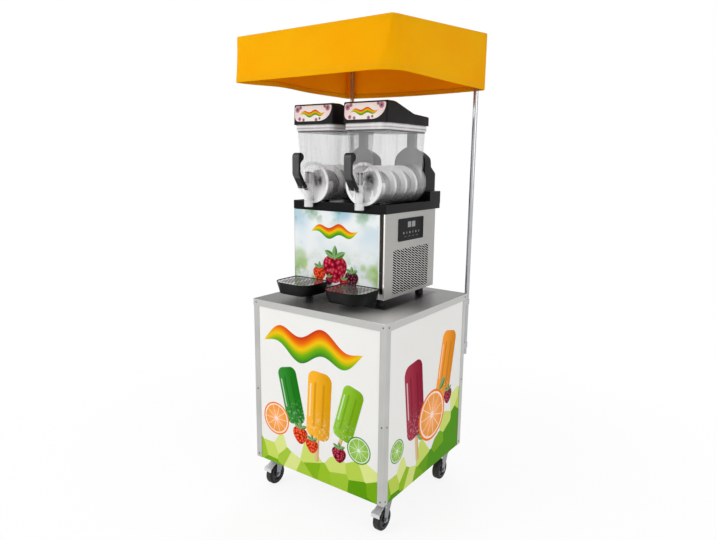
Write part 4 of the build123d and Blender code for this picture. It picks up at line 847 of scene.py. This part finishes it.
def leaf(art, place, long, lean, colour):
    beside, above = art.turned(place, lean)
    blade_half = long * leaf_width * (1.0 - art.smaller((above / long) ** 2.0, 1.0))
    blade = art.inked(abs(beside) - blade_half) * art.soft(abs(above), long, long * leaf_tip)
    turn = long * leaf_turn
    tone = art.shaded(beside, -turn, turn, paler(colour, leaf_pale), darker(colour, leaf_dark))
    rib = art.soft(abs(beside), *times(long, *rib_width))
    art.lay(blade, art.mix(rib * rib_share, tone, paler(colour, rib_pale)))


def berry(art, place, radius, colour):
    """A blunt cone of small shiny beads under a leafy crown."""
    beside, above = art.u - place[0], art.v - place[1]
    wide = 1.0 + art.larger(above * (taper / radius), narrowest)
    reach = ((beside / wide) ** 2.0 + above ** 2.0) ** 0.5
    stops = [(spot, darker(paler(colour, light), share)) for spot, light, share in bead_shades]
    skin_tone = art.ramp(art.cells(bead_scale / radius, "Distance"), stops)
    shadow = art.soft(beside, *times(radius, *berry_turn)) * berry_share
    art.lay(art.inked(reach - radius), art.mix(shadow, skin_tone, darker(colour, berry_dark)))
    for lean in crown_leans:
        side, lift = math.sin(math.radians(lean)) * crown_side, math.cos(math.radians(lean)) * crown_lift
        tip = (place[0] + side * radius, place[1] + (crown_rise + lift) * radius)
        leaf(art, tip, radius * crown_leaf, lean, leaf_green)


print("berries and leaves")

# %% Ribbon and mosaic
meadow, lime, pale_lime, mist = srgb(80, 148, 2), srgb(146, 190, 30), srgb(198, 217, 92), srgb(218, 229, 140)
facet_greens = [(0.0, mist), (0.28, pale_lime), (0.56, lime), (0.95, meadow)]
rainbow = [(0.0, srgb(16, 124, 34)), (0.3, srgb(116, 178, 14)), (0.52, srgb(240, 196, 14)),
           (0.74, srgb(236, 108, 10)), (1.0, srgb(196, 34, 14))]
half_waves, ribbon_taper, ribbon_tip = 4.4, 2.5, (1.0, 0.995)
facet_scale, facet_edge, facet_chance = 13.0, 0.001, 0.7
skyline, hill_waves, hill_swing = 0.115, 9.0, 0.02
panel_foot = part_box("front_panel")[0].z


def ribbon(art, span, height, swing, thick):
    """A waving ribbon that tapers to both ends, green below and red above."""
    middle_u, length = (span[0] + span[1]) / 2, span[1] - span[0]
    share = abs(art.u - middle_u) / (length / 2)
    line = height + art.sine((art.u - middle_u) * (half_waves * math.pi / length)) * swing
    half_thick = thick * (1.0 - art.smaller(share, 1.0) ** ribbon_taper)
    band = art.inked(abs(art.v - line) - half_thick) * art.soft(share, *ribbon_tip)
    art.lay(band, art.ramp((art.v - line) / (2 * thick) + 0.5, rainbow))


def mosaic_foot(art, slope, richness):
    """Green facets on white: a facet belongs as a whole when its middle lies under the skyline."""
    middle_u, middle_v = art.parts(art.cells(facet_scale, "Position"))[:2]
    chance = art.parts(art.cells(facet_scale, "Color"))[0]
    hills = art.sine(middle_u * hill_waves) * hill_swing + art.larger(middle_u * slope, 0.0)
    under = panel_foot + skyline + hills - middle_v
    depth = under * richness + (chance - 0.5) * facet_chance
    art.paint(art.noise(paper_scale), paper, paper_shade)
    art.lay(art.soft(under, -facet_edge, facet_edge), art.ramp(depth, facet_greens))


print("panel foot at", round(panel_foot, 3))

# %% Front panel
orange, orange_rind, lemon = srgb(254, 156, 2), srgb(240, 122, 0), srgb(254, 180, 4)
lime_flesh, lime_rind, deep_green = srgb(138, 194, 16), srgb(62, 136, 8), srgb(24, 136, 16)
crimson, tomato = srgb(162, 8, 52), srgb(238, 66, 4)
# Places, half heights or radii, leans in degrees and colours.
front_lollies = [((-0.135, 0.495), 0.126, -14, deep_green), ((0.17, 0.49), 0.122, 16, lime_flesh),
                 ((0.018, 0.485), 0.15, 3, lemon)]
front_citrus = [((-0.225, 0.365), 0.075, orange_rind, orange, 10),
                ((0.225, 0.35), 0.058, lime_rind, lime_flesh, 9)]
front_berries = [((-0.085, 0.325), 0.04, tomato), ((-0.02, 0.295), 0.033, tomato),
                 ((0.125, 0.3), 0.035, crimson)]
# Ends, height, swing and half thickness; slope and richness.
front_ribbon, front_mosaic = ((-0.29, 0.24), 0.735, 0.026, 0.058), (0.0, 5.5)


def fill(art, lollies, leaves, wheels, berries):
    for shape in lollies:
        ice_lolly(art, *shape)
    for shape in leaves:
        leaf(art, *shape, leaf_green)
    for shape in wheels:
        citrus(art, *shape)
    for shape in berries:
        berry(art, *shape)


art = Print("front_panel_print", 1)
mosaic_foot(art, *front_mosaic)
ribbon(art, *front_ribbon)
fill(art, front_lollies, [], front_citrus, front_berries)
art.show(-1)
coat(art, "front_panel")

# %% Side panels
side_lollies = [((-0.11, 0.52), 0.17, -7, crimson), ((0.16, 0.6), 0.155, 12, orange)]
side_leaves = [((0.13, 0.52), 0.04, 48), ((-0.05, 0.335), 0.036, -60)]
side_citrus = [((0.045, 0.4), 0.115, orange_rind, orange, 11),
               ((-0.24, 0.345), 0.05, lime_rind, lime_flesh, 9)]
side_berries, side_mosaic = [((0.19, 0.44), 0.036, crimson)], (0.55, 8.0)
for name, side in [("right_panel", 1), ("left_panel", -1)]:
    art = Print(f"{name}_print", 0)
    mosaic_foot(art, *side_mosaic)
    fill(art, side_lollies, side_leaves, side_citrus, side_berries)
    art.show(side)
    coat(art, name)

# %% [markdown]
# ## The plain parts of the cabinet
# Nobody dresses the back and the inside of a cart: a white powder-coated door, a painted frame
# and a laminated floor board. Powder coat has a gentle orange peel, and hands leave it greyer round
# the latch.

# %% Door and floor board
door_white, door_grime, door_rough, grime_rough = srgb(234, 234, 231), srgb(186, 182, 174), 0.4, 0.2
grime_reach, grime_scale, door_peel, door_skin = (0.16, 0.03), 30.0, 420.0, 0.00006
door = Finish("door_powder_coat", door_white, door_rough, specular=0.3)
latch = middle_of("door_latch")
from_latch = door.reach(door.x, door.z, (latch.x, latch.z))
grime = door.soft(from_latch, *grime_reach) * door.noise(grime_scale, rich)
door.paint(grime / 2, door_white, door_grime)
door.set("Roughness", door_rough + grime * grime_rough)
door.bump(door.noise(door_peel, plain), door_skin)
coat(door, "rear_door")
laminate_pale, laminate_dark = srgb(226, 223, 214), srgb(204, 197, 182)
laminate_way, laminate_run, laminate_depth = (2, 60, 60), (0.35, 0.7), 0.00005
board = Finish("floor_board_laminate", laminate_pale, roughness=0.45)
streaks = board.noise(1.0, rich, laminate_way)
board.paint(board.soft(streaks, *laminate_run), laminate_pale, laminate_dark)
board.bump(streaks, laminate_depth)
coat(board, "floor_board")

# %% [markdown]
# ## The machine's face
# Behind the drip trays the housing shows a print of a soft cold garden with berries in front. It could
# be painted as a picture, but large soft noise and round spots of light are enough for a garden out of
# focus, and the berries are the same as the cabinet's.

# %% Machine front print
mist_pale, mist_cool, cold_blue = srgb(240, 243, 242), srgb(222, 232, 232), srgb(140, 190, 214)
hedge_green, far_green, border_white = srgb(126, 172, 78), srgb(92, 156, 112), srgb(236, 237, 236)
raspberry, blackberry = srgb(192, 14, 52), srgb(92, 14, 40)
# Levels, scale and layers of the soft patches.
mist_marks, cold_marks, hedge_marks = (0.4, 0.7, 7.0), (0.5, 0.7, 5.0, plain), (0.46, 0.62, 13.0, some)
# Heights over the foot or under the top, and strengths.
cold_down, cold_share, far_down, far_share, hedge_top, hedge_share = 0.2, 0.8, 0.08, 0.75, (0.2, 0.06), 0.9
spot_core, spot_shrink, spot_share, border_start = 0.6, 0.01, 0.65, (0.0045, 0.004)
ribbon_ends, ribbon_down, ribbon_swing, ribbon_half = (-0.13, 0.12), 0.085, 0.01, 0.024
# Places from the middle of the foot, radii and colours.
light_spots = [((-0.2, 0.13), 0.06, srgb(166, 198, 128)), ((0.2, 0.1), 0.05, srgb(150, 190, 90)),
               ((-0.17, 0.1), 0.022, srgb(186, 214, 130)), ((-0.13, 0.15), 0.014, srgb(240, 246, 240)),
               ((0.15, 0.12), 0.024, srgb(150, 196, 84)), ((0.19, 0.17), 0.016, srgb(232, 242, 226)),
               ((0.11, 0.17), 0.012, srgb(206, 226, 180)), ((-0.19, 0.2), 0.017, srgb(206, 226, 232))]
face_fruit = [((-0.085, 0.07), 0.034, tomato), ((0.09, 0.065), 0.034, blackberry),
              ((0.0, 0.1), 0.062, raspberry), ((-0.03, 0.045), 0.02, crimson),
              ((0.05, 0.04), 0.022, raspberry)]
art = Print("machine_front_print", 1)
low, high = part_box("machine_front_panel")
centre_u = middle_of("machine_front_panel").x
hedge = art.mottle(*hedge_marks)
art.paint(art.mottle(*mist_marks), mist_pale, mist_cool)
art.lay(art.mottle(*cold_marks) * art.soft(art.v, high.z - cold_down, high.z) * cold_share, cold_blue)
art.lay(hedge * art.soft(art.v - low.z, *hedge_top) * hedge_share, hedge_green)
art.lay(hedge * art.soft(art.v, high.z - far_down, high.z) * far_share, far_green)
for (step_u, step_v), radius, colour in light_spots:
    reach = art.reach(art.u, art.v, (centre_u + step_u, low.z + step_v))
    art.lay(art.soft(reach, radius, radius * spot_core - spot_shrink) * spot_share, colour)
span = [centre_u + end for end in ribbon_ends]
ribbon(art, span, high.z - ribbon_down, ribbon_swing, ribbon_half)
for (step_u, step_v), radius, colour in face_fruit:
    berry(art, (centre_u + step_u, low.z + step_v), radius, colour)
art.lay(art.soft(high.x - art.u, *border_start), border_white)
art.show(-1)
coat(art, "machine_front_panel")

# %% Touch panel
touch_black, touch_mark, mark_edge = srgb(15, 15, 16), srgb(150, 152, 154), 0.0006
touch_rough, finger_scale, finger_rough = 0.12, 20.0, 0.08
# Rows of plain marks: how many, pitch, height over the middle, half widths by turns, half height, strength.
mark_rows = [(2, 0.034, 0.02, [0.0135], 0.012, 1.0), (6, 0.025, -0.014, [0.0045, 0.0025], 0.0045, 0.8),
             (4, 0.032, -0.03, [0.008], 0.0012, 0.5)]
touch = Finish("touch_glass", touch_black, touch_rough, specular=0.08)
middle = middle_of("control_panel")
marks = 0.0
for count, pitch, rise, half_widths, half_high, strength in mark_rows:
    for column in range(count):
        from_side = abs(touch.y - (middle.y + (column - (count - 1) / 2) * pitch))
        from_level = abs(touch.z - (middle.z + rise))
        gap = touch.larger(from_side - half_widths[column % len(half_widths)], from_level - half_high)
        marks = touch.larger(marks, touch.soft(gap, mark_edge, -mark_edge) * strength)
touch.paint(marks, touch_black, touch_mark)
touch.set("Roughness", touch_rough + touch.noise(finger_scale, some) * finger_rough)
coat(touch, "control_panel")

# %% [markdown]
# ## Signs on the lids
# Each lid carries a pale sign on its front, cut away in a long curve at one end. It is a thin plate of
# its own, so it gets its own mesh: an outline laid on the lid, given a thickness and a softened edge.

# %% Shape of a sign
sign_wide, sign_high, sign_thick, sign_bevel, bevel_start = 0.2, 0.064, 0.0016, 0.0012, 0.6
sign_foot, lid_lean, lid_rise, arc_steps = 0.0135, 0.004, 0.084, 10
lid_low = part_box("lid_left")[0]
slope = Vector((0, lid_lean, lid_rise)).normalized()
outward = Vector((1, 0, 0)).cross(slope)
sign_middle = Vector((0, lid_low.y, lid_low.z)) + slope * (sign_foot + sign_high / 2)
# Which corner, how far its cut reaches across and up, and where its arc starts in degrees.
sign_cuts = [(1, -1, 0.066, 0.056, -90), (1, 1, 0.006, 0.006, 0),
             (-1, 1, 0.01, 0.012, 90), (-1, -1, 0.02, 0.024, 180)]


def sign_outline():
    """A plate with small cuts above and one long rounded cut below."""
    points = []
    for corner_u, corner_v, cut_u, cut_v, start in sign_cuts:
        centre = (corner_u * (sign_wide / 2 - cut_u), corner_v * (sign_high / 2 - cut_v))
        for step in range(arc_steps + 1):
            angle = math.radians(start + step * 90 / arc_steps)
            points.append((centre[0] + cut_u * math.cos(angle), centre[1] + cut_v * math.sin(angle)))
    return points


def sign_plate(name, centre_x, finish):
    middle = sign_middle + Vector((centre_x, 0, 0))
    outline = sign_outline()
    count = len(outline)
    points = []
    for lift, inset in [(0.0, 0.0), (sign_thick * bevel_start, 0.0), (sign_thick, sign_bevel)]:
        scale_u, scale_v = 1 - 2 * inset / sign_wide, 1 - 2 * inset / sign_high
        for u, v in outline:
            points.append(middle + Vector((u * scale_u, 0, 0)) + slope * (v * scale_v) + outward * lift)
    faces = [tuple(range(2 * count, 3 * count)), tuple(reversed(range(count)))]
    for start in (0, count):
        for index in range(count):
            after = (index + 1) % count
            faces.append((start + index, start + after, start + count + after, start + count + index))
    return new_object(name, points, faces, finish)


print("sign", sign_wide, "by", sign_high, "m")

# %% Sign plates
sign_pale, sign_pink, pink_run = srgb(247, 244, 240), srgb(242, 224, 225), (0.03, 0.095)
petal_plum, petal_dark = srgb(150, 62, 104), srgb(74, 22, 48)
petal_share, core_size, core_share = 0.75, 0.4, 0.8
sign_ribbon = ((-0.07, 0.066), -0.001, 0.005, 0.011)
sign_petals = [((-0.084, 0.017), 0.012), ((-0.068, 0.025), 0.008), ((0.08, 0.02), 0.012),
               ((0.064, 0.027), 0.007), ((-0.05, -0.026), 0.007), ((-0.072, -0.022), 0.008),
               ((0.02, -0.027), 0.008), ((0.038, -0.022), 0.006)]


def sign_print(name, centre_x):
    art = Print(name, 1)
    art.u, art.v = art.x - centre_x, art.z - sign_middle.z
    art.paint(art.soft(abs(art.u), *pink_run), sign_pale, sign_pink)
    for place, radius in sign_petals:
        reach = art.reach(art.u, art.v, place)
        art.lay(art.inked(reach - radius) * petal_share, petal_plum)
        art.lay(art.inked(reach - radius * core_size) * core_share, petal_dark)
    ribbon(art, *sign_ribbon)
    return art


for side, middle in middles.items():
    plate = sign_plate(f"lid_sign_{side}", middle, sign_print(f"lid_sign_print_{side}", middle))
    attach(plate, f"lid_{side}")
    print("sign on the lid,", side)

# %% [markdown]
# ## The canopy
# Coated cloth is drawn over a tube frame and hangs down in a valance all round. It could be simulated,
# but it is stretched so tight that it hardly moves. A cage of points follows the frame, sags a little
# between the tubes, gives way towards its hem and hangs slack round one front corner. Subdivision
# turns the cage into one smooth sheet with a turned-up hem.

# %% Measures of the canopy
cloth_thick, front_z = 0.0012, 1.980
cover_low, cover_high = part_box("canopy_cover")
hem_z, rear_z = cover_low.z, cover_high.z
half_x, half_y = cover_high.x - cloth_thick, cover_high.y - cloth_thick
edge_places, steps = (0.012, 0.03, 0.055, 0.09), 12
levels = [0.06, 0.12, 0.2, 0.3, 0.4, 0.5, 0.6, 0.7, 0.8, 0.93, 1.0]
tube_round, hem_round, growth, sewn_round = 0.022, 0.1, 1.5, 0.012
crease_start, crease_reach, crease_depth, crease_waves = 0.06, 0.17, 0.014, 13
flare, flare_reach = 0.013, 0.2
# Where a side gives way at its hem: the middle and half width of the place, and how far.
left_give, right_give, front_give = (-0.12, 0.13, 0.010), (0.05, 0.2, 0.004), (0.1, 0.2, 0.003)
left_rise, rear_droop, roof_sag, roof_gap = 0.006, 0.006, 0.007, 0.0005
hem_fold, hem_turn, hem_gap = 0.022, 0.0022, 0.0004


def spread(half_size, edges, count):
    """Places along one side, close together at the ends, where the cloth folds over the tube."""
    ends = [half_size] + [half_size - edge for edge in edges[:-1]]
    inner = half_size - edges[-1]
    middle = [-inner + 2 * inner * step / count for step in range(count + 1)]
    return [-place for place in ends] + middle + ends[::-1]


columns, rows = spread(half_x, edge_places, steps), spread(half_y, edge_places, steps)
last_x, last_y = len(columns) - 1, len(rows) - 1
rim = ([(i, 0) for i in range(last_x)] + [(last_x, j) for j in range(last_y)]
       + [(i, last_y) for i in range(last_x, 0, -1)] + [(0, j) for j in range(last_y, 0, -1)])
print("places along the rim:", len(rim))


# %% Points of the cloth
def roof_height(y):
    return front_z + (rear_z - front_z) * (y + half_y) / (2 * half_y)


def give(place, middle, broad, depth):
    return depth * math.exp(-((place - middle) / broad) ** 2)


def round_corner(x, y, radius):
    """Slide a point of the rim onto a corner of this radius."""
    from_x, from_y = half_x - abs(x), half_y - abs(y)
    along = max(from_x, from_y)
    if along >= radius:
        return x, y
    turn = (1 - along / radius) * math.pi / 4
    near, far = radius * (1 - math.cos(turn)), radius * (1 - math.sin(turn))
    in_x, in_y = (far, near) if from_x >= from_y else (near, far)
    return math.copysign(half_x - in_x, x), math.copysign(half_y - in_y, y)


def crease(along, drop):
    """How far the cloth pulls in between the folds that spread from the slack corner."""
    fade = min(1.0, drop / crease_start) * math.exp(-(math.hypot(along, drop) / crease_reach) ** 2)
    return crease_depth * fade * (1 + math.sin(crease_waves * math.atan2(along, drop))) / 2


def roof_point(i, j):
    x, y = columns[i], rows[j]
    slack = max(0.0, 1 - (x / half_x) ** 2) * max(0.0, 1 - (y / half_y) ** 2)
    height = roof_height(y) - roof_gap - roof_sag * slack
    if i in (0, last_x) or j in (0, last_y):
        x, y = round_corner(x, y, tube_round if x > 0 > y else sewn_round)
    return Vector((x, y, height))


def side_point(i, j, share):
    x, y = columns[i], rows[j]
    from_x, from_y = half_x - abs(x), half_y - abs(y)
    top = roof_height(y)
    drop = (top - hem_z) * share
    z = top - drop
    sway = share * share
    slack_end = x > 0 > y
    slack_round = tube_round + (hem_round - tube_round) * share ** growth
    x, y = round_corner(x, y, slack_round if slack_end else sewn_round)
    if i == 0:
        x += sway * (give(y, *left_give) - give(y, -half_y, flare_reach, flare))
        z += sway * give(y, *left_give[:2], left_rise)
    elif i == last_x:
        x -= sway * give(y, *right_give)
    if i == last_x and slack_end:
        x -= crease(from_y, drop)
    if j == last_y:
        z -= sway * rear_droop * (1 - (x / half_x) ** 2)
    elif j == 0:
        y += sway * give(x, *front_give)
        if i > 0:
            x -= sway * give(x, -half_x, flare_reach, flare)
    if j == 0 and slack_end:
        y += crease(from_x, drop)
    return Vector((x, y, z))


def hem_point(i, j, lift):
    """A point of the cloth that is turned up inside the hem."""
    edge = side_point(i, j, 1.0)
    in_x = math.copysign(hem_turn, edge.x) if i in (0, last_x) else 0.0
    in_y = math.copysign(hem_turn, edge.y) if j in (0, last_y) else 0.0
    return edge + Vector((-in_x, -in_y, lift + hem_gap))


print("roof from", front_z, "to", round(rear_z, 3))

# %% Canopy cage
points = [roof_point(i, j) for j in range(last_y + 1) for i in range(last_x + 1)]
faces = []
for j in range(last_y):
    for i in range(last_x):
        start = j * (last_x + 1) + i
        faces.append((start, start + 1, start + last_x + 2, start + last_x + 1))
rings = [[side_point(i, j, share) for i, j in rim] for share in levels]
rings += [[hem_point(i, j, lift) for i, j in rim] for lift in (0.0, hem_fold)]
above = [j * (last_x + 1) + i for i, j in rim]
for ring_points in rings:
    ring = [len(points) + index for index in range(len(rim))]
    points += ring_points
    for index in range(len(rim)):
        after = (index + 1) % len(rim)
        faces.append((above[index], ring[index], ring[after], above[after]))
    above = ring
print("cage of", len(points), "points")

# %% [markdown]
# ## Canopy cloth
# Coated polyester glows a little where light comes through, shows its weave close up and a row of
# stitches above the hem. The weave is fine waves along every axis, so that each face shows two sets.
# The stitches are short dashes at one height, and a noise drawn out downwards adds fine slack marks
# near the corners.

# %% Cloth finish
cloth_gold, cloth_shade, weave_dark = srgb(255, 199, 8), srgb(255, 189, 2), srgb(240, 152, 0)
stitch_pale, glow_colour, glow_share = srgb(255, 208, 100), srgb(255, 164, 8), 0.27
cloth_rough, weave_rough, weave_share, stitch_share = 0.56, 0.12, 0.12, 0.7
thread_pitch, stitch_pitch, stitch_run = 0.0016, 0.0065, (-0.1, 0.1)
stitch_height, stitch_width, cloudy_marks = hem_fold - 0.003, (0.0011, 0.0005), (0.35, 0.7, 4.0, some)
slack_scale, slack_reach, slack_core, slack_base = (16, 16, 3), 0.3, 0.02, 0.2
weave_height, stitch_rise, cloth_depth = 0.04, 0.08, 0.006
cloth = Finish("canopy_cloth_orange", cloth_gold, cloth_rough, specular=0.03)
ways = (cloth.x, cloth.y, cloth.z)
weave = sum((cloth.wave(way, thread_pitch) for way in ways), 0.0) / (2 * len(ways)) + 0.5
corner_sum = half_x + half_y
near_corner = cloth.soft(abs(cloth.x) + abs(cloth.y), corner_sum - slack_reach, corner_sum - slack_core)
slack_marks = cloth.noise(1.0, 2.0, slack_scale) * (near_corner * (1 - slack_base) + slack_base)
stitch_line = cloth.soft(abs(cloth.z - (hem_z + stitch_height)), *stitch_width)
stitches = stitch_line * cloth.soft(cloth.wave(cloth.x + cloth.y, stitch_pitch), *stitch_run)
cloth.paint(cloth.mottle(*cloudy_marks), cloth_gold, cloth_shade)
cloth.lay(weave * weave_share, weave_dark)
cloth.lay(stitches * stitch_share, stitch_pale)
cloth.set("Roughness", cloth_rough + weave * weave_rough)
cloth.bump(weave * weave_height + stitches * stitch_rise + slack_marks, cloth_depth)
cloth.blend_with("ShaderNodeBsdfTranslucent", glow_share, Color=glow_colour)
print("threads", thread_pitch, "m apart")

# %% Canopy cloth
canopy = new_object("canopy_cloth", points, faces, cloth)
canopy.data.polygons.foreach_set("use_smooth", [True] * len(faces))
smooth = canopy.modifiers.new("smooth", "SUBSURF")
smooth.levels = smooth.render_levels = 2
thickness = canopy.modifiers.new("thickness", "SOLIDIFY")
thickness.thickness = cloth_thick
thickness.offset = -1.0
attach(canopy, "cart")
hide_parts("canopy_cover")

# %% [markdown]
# ## Closing
# The boxes of the frame and of the dressed cart are kept side by side, so that a piece that has grown
# past the frame shows up at once.

# %% Finish
size = {"cad": [list(corner) for corner in cad_box], "visual": [list(corner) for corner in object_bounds()]}
print("boxes", size)
